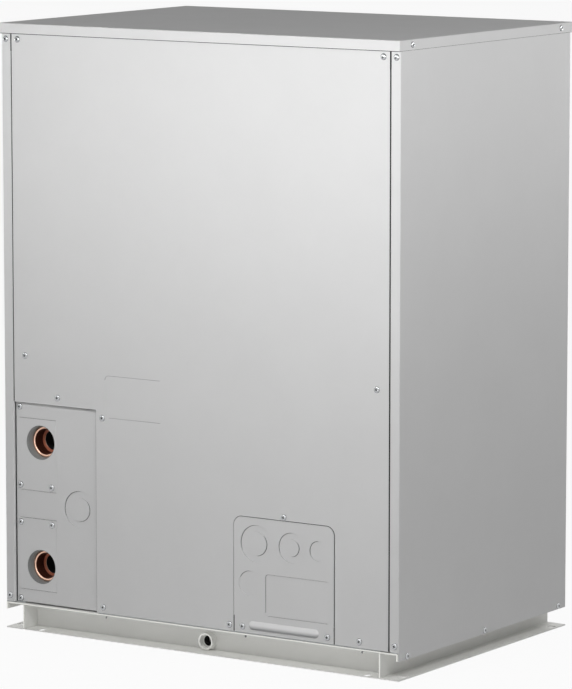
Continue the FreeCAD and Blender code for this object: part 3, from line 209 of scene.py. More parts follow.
def revolve(profile, origin, axis, sides=96, closed=True):
    """A turned shape: profile holds (radius, distance along the axis) in millimetres."""
    mesh = bpy.data.meshes.new("turned")
    bm = bmesh.new()
    side = axis.orthogonal().normalized()
    up = axis.cross(side)
    rings = []
    for radius, along in profile:
        if radius == 0:
            rings.append([bm.verts.new(origin + axis * along * MM)])
            continue
        ring = []
        for i in range(sides):
            angle = 2 * math.pi * i / sides
            spoke = side * math.cos(angle) + up * math.sin(angle)
            ring.append(bm.verts.new(origin + axis * along * MM + spoke * radius * MM))
        rings.append(ring)
    pairs = list(zip(rings, rings[1:]))
    if closed:
        pairs.append((rings[-1], rings[0]))
    for a, b in pairs:
        for i in range(sides):
            j = (i + 1) % sides
            corners = [a[i % len(a)], a[j % len(a)], b[j % len(b)], b[i % len(b)]]
            corners = list(dict.fromkeys(corners))
            if len(corners) > 2:
                bm.faces.new(corners)
    bmesh.ops.recalc_face_normals(bm, faces=bm.faces)
    bm.to_mesh(mesh)
    bm.free()
    return mesh


def add_prism(bm, outline, near, far):
    """A plate between two depths, drawn by its outline as (x, z) seen from the front."""
    front = [bm.verts.new((x, near, z)) for x, z in outline]
    back = [bm.verts.new((x, far, z)) for x, z in outline]
    bm.faces.new(front)
    bm.faces.new(back[::-1])
    bridge(bm, back, front)


def add_washer(bm, centre, outer, inner, near, far):
    """A ring-shaped plate seen from the front."""
    loops = []
    for radius, depth in ((outer, near), (inner, near), (inner, far), (outer, far)):
        loops.append([bm.verts.new((x, depth, z)) for x, z in round_outline(centre, radius)])
    for a, b in zip(loops, loops[1:] + loops[:1]):
        bridge(bm, a, b)


def add_seam(bm, path, widths, near, far):
    """A narrow strip along a path of (x, z) points, with one width in millimetres or one for each point."""
    if isinstance(widths, float):
        widths = [widths] * len(path)
    corners = ((-1, near), (1, near), (1, far), (-1, far))
    rows = []
    for i, (x, z) in enumerate(path):
        before, after = path[max(i - 1, 0)], path[min(i + 1, len(path) - 1)]
        run = Vector((after[0] - before[0], after[1] - before[1])).normalized() * widths[i] * MM / 2
        rows.append([bm.verts.new((x + side * run.y, y, z - side * run.x)) for side, y in corners])
    for a, b in zip(rows, rows[1:]):
        bridge(bm, a, b)
    bm.faces.new(rows[0])
    bm.faces.new(rows[-1][::-1])


def add_slab(bm, x, y, z):
    add_prism(bm, [(x[0], z[0]), (x[1], z[0]), (x[1], z[1]), (x[0], z[1])], y[0], y[1])


def mesh_from(build):
    """A mesh made by a function that fills a bmesh, with its faces turned outwards."""
    mesh = bpy.data.meshes.new("plate")
    bm = bmesh.new()
    build(bm)
    bmesh.ops.recalc_face_normals(bm, faces=bm.faces)
    bm.to_mesh(mesh)
    bm.free()
    return mesh


def pressed(name, body, steps, material, edge):
    """A sheet piece with meshes joined to it or cut from it in turn, and its edges softened."""
    piece = object_from(name, body, material)
    tools = []
    for operation, mesh in steps:
        tool = object_from(name + "_tool", mesh, material)
        tools.append(tool)
        change = piece.modifiers.new("Change", "BOOLEAN")
        change.operation, change.solver, change.object = operation, "EXACT", tool
    soften = piece.modifiers.new("Soften", "BEVEL")
    soften.width, soften.segments, soften.limit_method = edge * MM, 2, "ANGLE"
    soften.angle_limit, soften.use_clamp_overlap = math.radians(40), True
    settle(piece)
    for tool in tools:
        bpy.data.objects.remove(tool)
    return piece


# Settings

def colour_setting(name, what, code):
    return FloatVectorProperty(name=name, description=what, subtype="COLOR", size=3, min=0, max=1,
                               default=linear(code)[:3])


def number_setting(name, what, low, high, default):
    return FloatProperty(name=name, description=what, min=low, max=high, default=default)


class CasingSettings(bpy.types.PropertyGroup):
    coat: colour_setting("Coat colour", "Colour of the panels' baked coat, linear", "#E3E3E3")
    coat_roughness: number_setting("Coat roughness", "How dull the panels' coat is", 0, 1, 0.55)
    coat_gloss: number_setting("Coat gloss", "How strongly the coat mirrors, 0.5 for plain paint", 0, 1, 0.25)
    edge: number_setting("Pressed edge radius", "Rounding of pressed edges in millimetres", 0.05, 1, 0.2)
    press_depth: number_setting("Press depth", "Depth of the pressed rings in millimetres", 0.3, 3, 2.0)


class BaseSettings(bpy.types.PropertyGroup):
    coat: colour_setting("Base colour", "Colour of the base's coat, linear", "#FBFBF8")
    drain_pitch: number_setting("Drain thread pitch", "Pitch of its thread in millimetres", 0.5, 4, 1.814)


class ScrewSettings(bpy.types.PropertyGroup):
    head_radius: number_setting("Head radius", "Radius of the pan heads in millimetres", 2, 8, 5.8)
    head_height: number_setting("Head height", "Height of the pan heads in millimetres", 1, 4, 2.2)
    recess: number_setting("Recess length", "Length of the cross recess in millimetres", 1, 8, 5.8)
    seed: IntProperty(name="Turn seed", description="Seed for how far each screw is turned", min=0, default=7)


class SocketSettings(bpy.types.PropertyGroup):
    metal: colour_setting("Socket colour", "Colour of the bronze water sockets, linear", "#F8CCB4")
    pitch: number_setting("Thread pitch", "Pitch of the water sockets' thread in millimetres", 0.5, 4, 2.309)


class StageSettings(bpy.types.PropertyGroup):
    lens: number_setting("Lens", "Focal length of the camera in millimetres", 20, 500, 226.85)
    key_power: number_setting("Front lamp", "Its power in watts; the others follow it", 0, 100, 10.5)
    room: number_setting("Room light", "Strength of the even light of the room", 0, 1, 0.13)


# Materials

def speckled_coat(name, base, roughness, dark, grain, bump, specular=0.5):
    """A baked coat: near even colour, a faint mottle and an orange peel that breaks up the gloss."""
    material, tree, place = new_material(name)
    mottle = add_node(tree, "ShaderNodeTexNoise", {"Scale": 9.0, "Detail": 4.0, "Roughness": 0.6},
                      {"Vector": place})
    tone = add_node(tree, "ShaderNodeMapRange", {
        "From Min": 0.3, "From Max": 0.7, "To Min": 1 - dark, "To Max": 1 + dark}, {"Value": mottle})
    colour = add_node(tree, "ShaderNodeVectorMath", {"operation": "SCALE", 0: base[:3]}, {"Scale": tone})
    peel = add_node(tree, "ShaderNodeTexNoise", {"Scale": grain, "Detail": 2.0}, {"Vector": place})
    dull = add_node(tree, "ShaderNodeMapRange", {"To Min": roughness - 0.05, "To Max": roughness + 0.05},
                    {"Value": peel})
    relief = add_node(tree, "ShaderNodeBump", {"Strength": bump, "Distance": 0.0002}, {"Height": peel})
    shader = add_node(tree, "ShaderNodeBsdfPrincipled", {"IOR": 1.5, "Specular IOR Level": specular},
                      {"Base Color": colour, "Roughness": dull, "Normal": relief})
    return close_material(material, shader)


def casing_coat(settings):
    # Polyester-coated galvanised sheet, coil coated: even pale grey with a satin gloss. The peel is
    # about 1.5 mm wide on the real sheet and is drawn at 4 mm, because finer would not show.
    return speckled_coat("polyester_coated_sheet", list(settings.coat), settings.coat_roughness, 0.012,
                         250.0, 0.06, settings.coat_gloss)


def bead_painted_light_coat():
    # Coat over the pressed bead with painted light: a painted highlight above the crest and painted shade
    # below it.
    material, tree, place = new_material("bead_coat_painted_light")
    axes = add_node(tree, "ShaderNodeSeparateXYZ", links={0: place})
    grain = add_node(tree, "ShaderNodeTexNoise", {"Scale": 250.0, "Detail": 2.0}, {"Vector": place})
    share = add_node(tree, "ShaderNodeMapRange", {
        "From Min": BEAD_CREST - 4.0 * MM, "From Max": BEAD_CREST + 5.5 * MM,
        "interpolation_type": "SMOOTHSTEP"}, {"Value": axes.outputs["Z"]})
    # Painted highlight above the crest, painted shade below it
    tone = add_node(tree, "ShaderNodeMixRGB", {"Color1": linear("#A2A2A4"), "Color2": linear("#F6F6F6")},
                    {"Fac": share})
    dull = add_node(tree, "ShaderNodeMapRange", {"To Min": 0.4, "To Max": 0.5}, {"Value": grain})
    shader = add_node(tree, "ShaderNodeBsdfPrincipled", {"IOR": 1.5},
                      {"Base Color": tone, "Roughness": dull})
    return close_material(material, shader)


def base_coat(settings):
    # Powder-coated steel, warmer and duller than the panels, with a coarser peel.
    return speckled_coat("powder_coated_base", list(settings.coat), 0.5, 0.02, 220.0, 0.12)


def galvanised_sheet():
    # Hot-dip galvanised steel: flat zinc crystals about 8 mm across, each with its own tone.
    material, tree, place = new_material("galvanised_sheet")
    crystals = add_node(tree, "ShaderNodeTexVoronoi", {"Scale": 125.0}, {"Vector": place})
    tone = add_node(tree, "ShaderNodeMixRGB", {"Color1": linear("#A9AEB2"), "Color2": linear("#C2C6C9")},
                    {"Fac": crystals.outputs["Color"]})
    dull = add_node(tree, "ShaderNodeMapRange", {"To Min": 0.35, "To Max": 0.55}, {"Value": crystals})
    shader = add_node(tree, "ShaderNodeBsdfPrincipled", {"Metallic": 0.9},
                      {"Base Color": tone, "Roughness": dull})
    return close_material(material, shader)


def worked_metal(name, low, high, roughness, scale, stretch, bump=0.1, hollow_shade=0.0):
    """A metal with fine tool or drawing marks that run square to the stretched axis.

    Its last argument is how far, in millimetres, painted shade from an occlusion node reaches out of hollows
    and corners.
    """
    material, tree, place = new_material(name)
    along = add_node(tree, "ShaderNodeMapping", {"Scale": stretch}, {"Vector": place})
    marks = add_node(tree, "ShaderNodeTexNoise", {"Scale": scale, "Detail": 3.0, "Roughness": 0.6},
                     {"Vector": along})
    tone = add_node(tree, "ShaderNodeMixRGB", {"Color1": low, "Color2": high}, {"Fac": marks})
    dull = add_node(tree, "ShaderNodeMapRange", {"To Min": roughness - 0.07, "To Max": roughness + 0.07},
                    {"Value": marks})
    relief = add_node(tree, "ShaderNodeBump", {"Strength": bump, "Distance": 0.0002}, {"Height": marks})
    if hollow_shade:
        # Painted shade: the colour darkens where the occlusion node finds hollows, corners and the seat
        hollow = add_node(tree, "ShaderNodeAmbientOcclusion", {"Distance": hollow_shade * MM})
        unshaded_share = add_node(tree, "ShaderNodeMath", {"operation": "POWER", 1: 3.0}, {0: hollow.outputs["AO"]})
        tone = add_node(tree, "ShaderNodeVectorMath", {"operation": "SCALE"}, {0: tone, "Scale": unshaded_share})
    shader = add_node(tree, "ShaderNodeBsdfPrincipled", {"Metallic": 1.0},
                      {"Base Color": tone, "Roughness": dull, "Normal": relief})
    return close_material(material, shader)


def zinc_plate():
    # Zinc-plated screw steel with faint turning marks: mirror-like on the dome, with painted shade in the
    # cross recess and round the seat.
    tones = linear("#9C9EA0"), linear("#C8CACB")
    return worked_metal("bright_zinc_plate", *tones, 0.16, 900.0, (1, 1, 1), 0.05, 3.2)


def bare_edge():
    # Cut edge of galvanised sheet, bare zinc and steel, bright because it mirrors the white room.
    tones = linear("#D6D7D2"), linear("#EDEDE8")
    return shared_material("edge", worked_metal, "bare_cut_edge", *tones, 0.3, 90.0, (1, 1, 12), 0.05)


def turned_bronze(settings):
    # Cast bronze with a turned mouth: pinkish copper tone, tool marks in rings, soft gloss.
    tone = list(settings.metal)
    low = [c * 0.82 for c in tone] + [1.0]
    return worked_metal("turned_bronze", low, tone + [1.0], 0.28, 60.0, (1, 40, 1), 0.08)


def dull_solid(name, base, roughness, scale, spread, bump):
    """Rubber, foam, enamel and board: a plain body colour with a grain in its gloss and relief."""
    return speckled_coat(name, linear(base), roughness, spread, scale, bump, 0.4)


# Nodes that keep their CAD shape and only get a finish
CASING_NODES = ("side_panel_left", "side_panel_right", "rear_panel", "top_panel", "front_panel")
BASE_NODES = ("base_pan", "base_rail_left", "base_rail_right", "base_front_apron", "base_rear_apron")
SHEET_NODES = ("front_sill", "post_front_left", "post_front_right", "post_rear_left", "post_rear_right",
               "top_beam_front", "top_beam_rear", "exchanger_stand", "control_box", "control_box_cover")
COPPER_NODES = ("discharge_pipe", "suction_pipe", "return_pipe", "exchanger_gas_pipe", "gas_line",
                "exchanger_liquid_pipe", "liquid_line")
BRASS_NODES = ("four_way_valve_body", "four_way_valve_slide", "gas_valve_body", "gas_valve_plug",
               "liquid_valve_body", "liquid_valve_plug", "expansion_valve_body", "expansion_valve_needle")
STAINLESS_NODES = ("plate_heat_exchanger", "water_inlet_pipe", "water_outlet_pipe")


def finish_nodes(names, material):
    for name in names:
        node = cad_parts[name]
        node.data.materials.clear()
        node.data.materials.append(material)


def shared_material(key, make, *settings):
    """The material a function makes, made once."""
    if key not in shared_materials:
        shared_materials[key] = make(*settings)
    return shared_materials[key]


shared_materials = {}


class UNIT_OT_coat_casing(bpy.types.Operator):
    """Gives the large panels their coat"""
    bl_idname = "unit.coat_casing"
    bl_label = "Coat the casing"

    def execute(self, context):
        finish_nodes(CASING_NODES, shared_material("casing", casing_coat, context.scene.unit_casing))
        return {"FINISHED"}


class UNIT_OT_coat_base(bpy.types.Operator):
    """Gives the pan, rails and aprons their coat"""
    bl_idname = "unit.coat_base"
    bl_label = "Coat the base"

    def execute(self, context):
        finish_nodes(BASE_NODES, shared_material("base", base_coat, context.scene.unit_base))
        return {"FINISHED"}


class UNIT_OT_finish_inside(bpy.types.Operator):
    """Gives the frame, the circuit and the control box their finishes"""
    bl_idname = "unit.finish_inside"
    bl_label = "Finish the inside"

    def execute(self, context):
        finish_nodes(SHEET_NODES, galvanised_sheet())
        for names, name, low, high, *surface in (
            # Drawn copper tube, slightly tarnished, with marks along its length
            (COPPER_NODES, "drawn_copper", "#B56B4B", "#D98E6C", 0.3, 80.0, (1, 1, 1)),
            # Forged and machined brass, a satin yellow
            (BRASS_NODES, "forged_brass", "#B08D4A", "#CDAE68", 0.35, 150.0, (1, 1, 1)),
            # Pressed stainless steel, rolled satin
            (STAINLESS_NODES, "rolled_stainless", "#A8ABAE", "#C3C5C7", 0.35, 90.0, (1, 1, 12)),
            # Extruded aluminium fins, natural finish
            (("power_module",), "extruded_aluminium", "#BDC0C3", "#D3D5D7", 0.4, 90.0, (12, 12, 1)),
        ):
            finish_nodes(names, worked_metal(name, linear(low), linear(high), *surface))
        # Stoved black enamel on the pressure vessels, smooth and glossy
        enamel = dull_solid("black_enamel", "#1B1B1C", 0.25, 120.0, 0.04, 0.05)
        finish_nodes(("compressor", "accumulator"), enamel)
        # Natural rubber feet, matt
        finish_nodes(("compressor_mounts",), dull_solid("rubber", "#262626", 0.8, 400.0, 0.06, 0.2))
        # Glass-fibre circuit board with green solder resist
        finish_nodes(("main_board",), dull_solid("circuit_board", "#1F5B38", 0.4, 300.0, 0.1, 0.1))
        return {"FINISHED"}


def knockouts():
    """The access panel's knock-outs: centre, outer and inner radius, widest part of the cut line in mm."""
    left, row = ACCESS_LOW.x, ACCESS_HIGH.z - 44.6 * MM
    return (
        ((left + 45.9 * MM, row), 33 * MM, 21 * MM, 0.8),
        ((left + 119.1 * MM, row), 26.7 * MM, 15 * MM, 0.6),
        ((left + 174.5 * MM, row), 17.7 * MM, 0, 0.6),
        ((left + 31.7 * MM, 138.6 * MM), 22.5 * MM, 0, 0.7),
    )


def cable_field():
    """The pressed field for cable glands, as its reach along x and along z."""
    left = ACCESS_LOW.x
    return (left + 64.9 * MM, left + 199.7 * MM), (84.0 * MM, 158.5 * MM)


class UNIT_OT_press_access_panel(bpy.types.Operator):
    """Makes the access panel with its knock-outs, cable field and bead"""
    bl_idname = "unit.press_access_panel"
    bl_label = "Press the access panel"

    def execute(self, context):
        settings = context.scene.unit_casing
        left, right = ACCESS_LOW.x, ACCESS_HIGH.x
        low, high = ACCESS_LOW.z, ACCESS_HIGH.z
        field_x, field_z = cable_field()
        deep = settings.press_depth * MM

        def sheet(bm):
            add_prism(bm, box_outline((left, right), (low, high), 15 * MM, True), FRONT, FRONT + SHEET)

        def rim(bm):
            outline = box_outline((left - 1.2 * MM, right), (RIM_FOOT, high + 0.8 * MM), 15.8 * MM, True)
            add_prism(bm, outline, FRONT, FRONT + SHEET)

        def rings(bm, spread, near, far):
            for centre, outer, inner, _ in knockouts():
                if inner:
                    add_washer(bm, centre, outer + spread, inner - spread, near, far)
                else:
                    add_prism(bm, round_outline(centre, outer + spread), near, far)

        def backs(bm):
            near, far = FRONT + MM, FRONT + deep + SHEET
            rings(bm, MM / 2, near, far)
            wide, tall = ((first - MM / 2, last + MM / 2) for first, last in (field_x, field_z))
            add_prism(bm, box_outline(wide, tall, 6.5 * MM), near, far)

        def recess(bm):
            near = FRONT - MM
            rings(bm, 0, near, FRONT + deep)
            add_prism(bm, box_outline(field_x, field_z, 6 * MM), near, FRONT + FIELD_SHARE * deep)

        coat = shared_material("casing", casing_coat, settings)
        steps = (("UNION", mesh_from(rim)), ("UNION", mesh_from(backs)), ("DIFFERENCE", mesh_from(recess)))
        panel = pressed("access_panel_pressed", mesh_from(sheet), steps, coat, settings.edge)
        mount_piece(panel, "casing_paint", "access_panel")
        bead = object_from("access_panel_bead", mesh_from(self.bead), bead_painted_light_coat(), 60)
        mount_piece(bead, "casing_paint")
        return {"FINISHED"}

    @staticmethod
    def bead(bm):
        """The long raised bead: a rounded ridge that fades into the sheet at its ends."""
        left, middle = ACCESS_LOW.x + 30.2 * MM, 64.5 * MM
        length, radius, proud, sunk = 146.2 * MM, 8 * MM, 5.0 * MM, 0.2 * MM
        levels = 10
        rings = []
        for k in range(levels):
            share = k / (levels - 1)
            reach = 1 - share
            depth = FRONT + sunk - (proud + sunk) * share * (1.7 - 0.7 * share)
            height = BEAD_CREST + reach * (middle - BEAD_CREST)
            ring = []
            for end, first in ((left + length - radius, -90), (left + radius, 90)):
                ring += arc((end, height), reach * radius, first, first + 180, 16)
            rings.append([bm.verts.new((x, depth, z)) for x, z in ring])
        for a, b in zip(rings, rings[1:]):
            bridge(bm, a, b)
        bmesh.ops.remove_doubles(bm, verts=bm.verts, dist=1e-6)
        bm.faces.new([v for v in rings[0] if v.is_valid])


class UNIT_OT_press_water_side(bpy.types.Operator):
    """Makes the recessed water panel and its two pipe plates"""
    bl_idname = "unit.press_water_side"
    bl_label = "Press the water side"

    def execute(self, context):
        settings = context.scene.unit_casing
        coat = shared_material("casing", casing_coat, settings)
        left, low = WATER_LOW.x, WATER_LOW.z
        right, top = WATER_EDGE, WATER_TOP
        deep = settings.press_depth * MM

        def sheet(bm):
            add_slab(bm, (left, right + SHEET), (WATER_FACE, WATER_FACE + SHEET), (low, top + SHEET))

        def back(bm):
            add_washer(bm, WATER_KNOCKOUT, 33.8 * MM, 21.0 * MM, WATER_FACE + MM, WATER_FACE + deep + SHEET)

        def recess(bm):
            near = WATER_FACE - MM
            add_washer(bm, WATER_KNOCKOUT, *WATER_KNOCKOUT_RADII, near, WATER_FACE + deep)
            for name in PIPE_PLATES:
                add_prism(bm, round_outline(hole_centre(name), 32.2 * MM, 64), near, WATER_FACE + 3 * MM)

        steps = (("UNION", mesh_from(back)), ("DIFFERENCE", mesh_from(recess)))
        panel = pressed("water_panel_face", mesh_from(sheet), steps, coat, settings.edge)
        mount_piece(panel, "casing_paint", "water_pipe_panel")

        def returns(bm):
            across = (FRONT + SHEET, WATER_FACE + SHEET)
            lap = (FRONT + SHEET, FRONT + 2 * SHEET)
            start = left + 1.5 * MM
            add_slab(bm, (right, right + SHEET), across, (low, top))
            add_slab(bm, (start, right + SHEET), across, (top, top + SHEET))
            add_slab(bm, (right + SHEET, right + WATER_LAP), lap, (low, top + WATER_LAP))
            add_slab(bm, (start, right + SHEET), lap, (top + SHEET, top + WATER_LAP))

        laps = object_from("water_panel_laps", mesh_from(returns), coat)
        mount_piece(laps, "casing_paint")

        for name in PIPE_PLATES:
            a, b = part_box(name)
            centre = hole_centre(name)

            def plate(bm):
                add_slab(bm, (a.x, b.x), (a.y, b.y), (a.z, b.z))

            def hole(bm):
                add_prism(bm, round_outline(centre, 31.2 * MM), a.y - MM, b.y + MM)

            steps = (("DIFFERENCE", mesh_from(hole)),)
            piece = pressed(name + "_pressed", mesh_from(plate), steps, coat, 0.25)
            mount_piece(piece, "casing_paint", name)
        return {"FINISHED"}


def hole_centre(plate):
    """The middle of the socket that a pipe plate's hole is cut for."""
    node = "water_outlet_socket" if plate.endswith("upper") else "water_inlet_socket"
    a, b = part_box(node)
    return (a.x + b.x) / 2, (a.z + b.z) / 2


def threaded_bore(radius, pitch, start, end, rise):
    """Profile points of a thread drawn as rings, from the mouth inwards."""
    points = []
    along, crest = start, radius - rise
    while along + pitch <= end:
        points += [(radius, along), (crest, along + pitch * 0.45), (crest, along + pitch * 0.55)]
        along += pitch
    return points + [(radius, end)]


def turned_piece(name, profile, origin, material, slot_name, *nodes, sides=96):
    """Makes, smooths and mounts a turned piece whose profile runs to the rear."""
    piece = object_from(name, revolve(profile, origin, REARWARD, sides), material, 40)
    mount_piece(piece, slot_name, *nodes)


class UNIT_OT_turn_sockets(bpy.types.Operator):
    """Makes the two bronze water sockets and the foam collars round them"""
    bl_idname = "unit.turn_sockets"
    bl_label = "Turn the water sockets"

    def execute(self, context):
        settings = context.scene.unit_sockets
        bronze = turned_bronze(settings)
        # Cut thread left to tarnish: dark brown, with only a little metal sheen
        patina = dull_solid("tarnished_thread", "#472217", 0.38, 700.0, 0.25, 0.3)
        # Cast step behind the thread, rough and reddish
        cast = dull_solid("rough_cast_bronze", "#E58A6C", 0.6, 400.0, 0.2, 0.3)
        # Painted shade: an almost black, matt cup deep in the pipe, standing in for the dark depth of the
        # bore
        throat_shade = dull_solid("pipe_painted_shade", "#15110F", 0.85, 300.0, 0.2, 0.3)
        # Closed-cell elastomer foam, grey and quite matt
        foam = dull_solid("elastomer_foam", "#9B9C9B", 0.9, 500.0, 0.05, 0.5)
        outer, bore, step, deep = SOCKET_RADIUS, SOCKET_BORE, SOCKET_STEP_BORE, SOCKET_BORE_DEPTH
        wall, mouth = 2.65, 2.0
        inside = outer - 2 * wall
        collars = []
        for node in ("water_inlet_socket", "water_outlet_socket"):
            low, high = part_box(node)
            origin = Vector(((low.x + high.x) / 2, low.y, (low.z + high.z) / 2))
            length = (high.y - low.y) / MM
            rim = [math.radians(180 - 20 * k) for k in range(10)]
            profile = [(outer - wall + wall * math.cos(a), mouth - mouth * math.sin(a)) for a in rim]
            profile += [(outer, length), (step, length), (step, deep + 0.6)]
            profile += [(step + 0.6, deep), (inside, deep)]
            turned_piece(node + "_turned", profile, origin, bronze, "socket_bronze", node, sides=128)
            profile = [(23.5, 23.9), *threaded_bore(bore, settings.pitch, mouth, 22.5, 0.45)[::-1]]
            profile += [(22.6, 1.4), (23.5, 1.4)]
            turned_piece(node + "_thread", profile, origin, patina, "socket_bronze")
            profile = [(step, 23.6), (inside, 23.6), (inside, 24.1), (step, 24.1)]
            turned_piece(node + "_step", profile, origin, cast, "socket_bronze")
            profile = [(18.1, 25.2), (17.4, 25.4), (17.4, 44.0), (0, 44.0), (0, 44.8), (18.1, 44.8)]
            turned_piece(node + "_throat", profile, origin, throat_shade, "socket_bronze", sides=64)
            profile = [(29.6, 0), (37.2, 0), (37.8, 0.6), (37.8, 45), (29.3, 45), (29.3, 0.4)]
            start = Vector((origin.x, FRONT + 7.4 * MM, origin.z))
            collars.append(object_from(node + "_collar", revolve(profile, start, REARWARD), foam, 40))
        for collar in collars:
            mount_piece(collar, "collar_foam", "pipe_collars")
        return {"FINISHED"}


class UNIT_OT_turn_drain(bpy.types.Operator):
    """Makes the drain socket with its threaded mouth"""
    bl_idname = "unit.turn_drain"
    bl_label = "Turn the drain socket"

    def execute(self, context):
        settings = context.scene.unit_base
        low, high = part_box("drain_socket")
        middle = (low.x + high.x) / 2
        origin = Vector((middle, low.y, DRAIN_Z))
        outer, bore, inner, length = DRAIN_RADIUS, DRAIN_BORE, DRAIN_INNER_BORE, DRAIN_LENGTH
        profile = [(14.6, 0), (15.2, 0.3), (outer, 0.9), (outer, length), (inner, length)]
        profile += [(inner, 10.4), (9.4, 10.0), (bore, 10.0)]
        profile += threaded_bore(bore, settings.drain_pitch, 1.2, 9.4, 0.35)[::-1] + [(12.4, 0.6), (12.9, 0)]
        coat = shared_material("base", base_coat, settings)
        turned_piece("drain_socket_mouth", profile, origin, coat, "base_paint", "drain_socket")
        # The turned mouth is left bare: bright steel that mirrors the room
        profile = [(12.7, -0.15), (14.8, -0.15), (14.8, 0.2), (12.7, 0.2)]
        turned_piece("drain_socket_face", profile, origin, bare_edge(), "base_paint")
        # Painted shade: an almost black, matt cup deep in the drain, standing in for the dark depth of its
        # bore
        hollow_shade = dull_solid("drain_painted_shade", "#141413", 0.9, 300.0, 0.2, 0.3)
        profile = [(9.3, 10.1), (8.8, 10.3), (8.8, 36.0), (0, 36.0), (0, 36.8), (9.3, 36.8)]
        turned_piece("drain_socket_throat", profile, origin, hollow_shade, "base_paint", sides=48)
        turn = Vector((middle, low.y + length * MM, DRAIN_Z))
        top = (high.z - DRAIN_Z) / MM
        rise = [(0, -14), (6, -13.4), (11, -10.8), (14.2, -6), (outer, 0), (outer, top - 3.4)]
        rise += [(12.0, top - 3.4), (12.0, top), (inner, top), (inner, -2), (0, -2)]
        riser = object_from("drain_socket_riser", revolve(rise, turn, UPWARD, 64, False), coat, 40)
        mount_piece(riser, "base_paint")
        return {"FINISHED"}


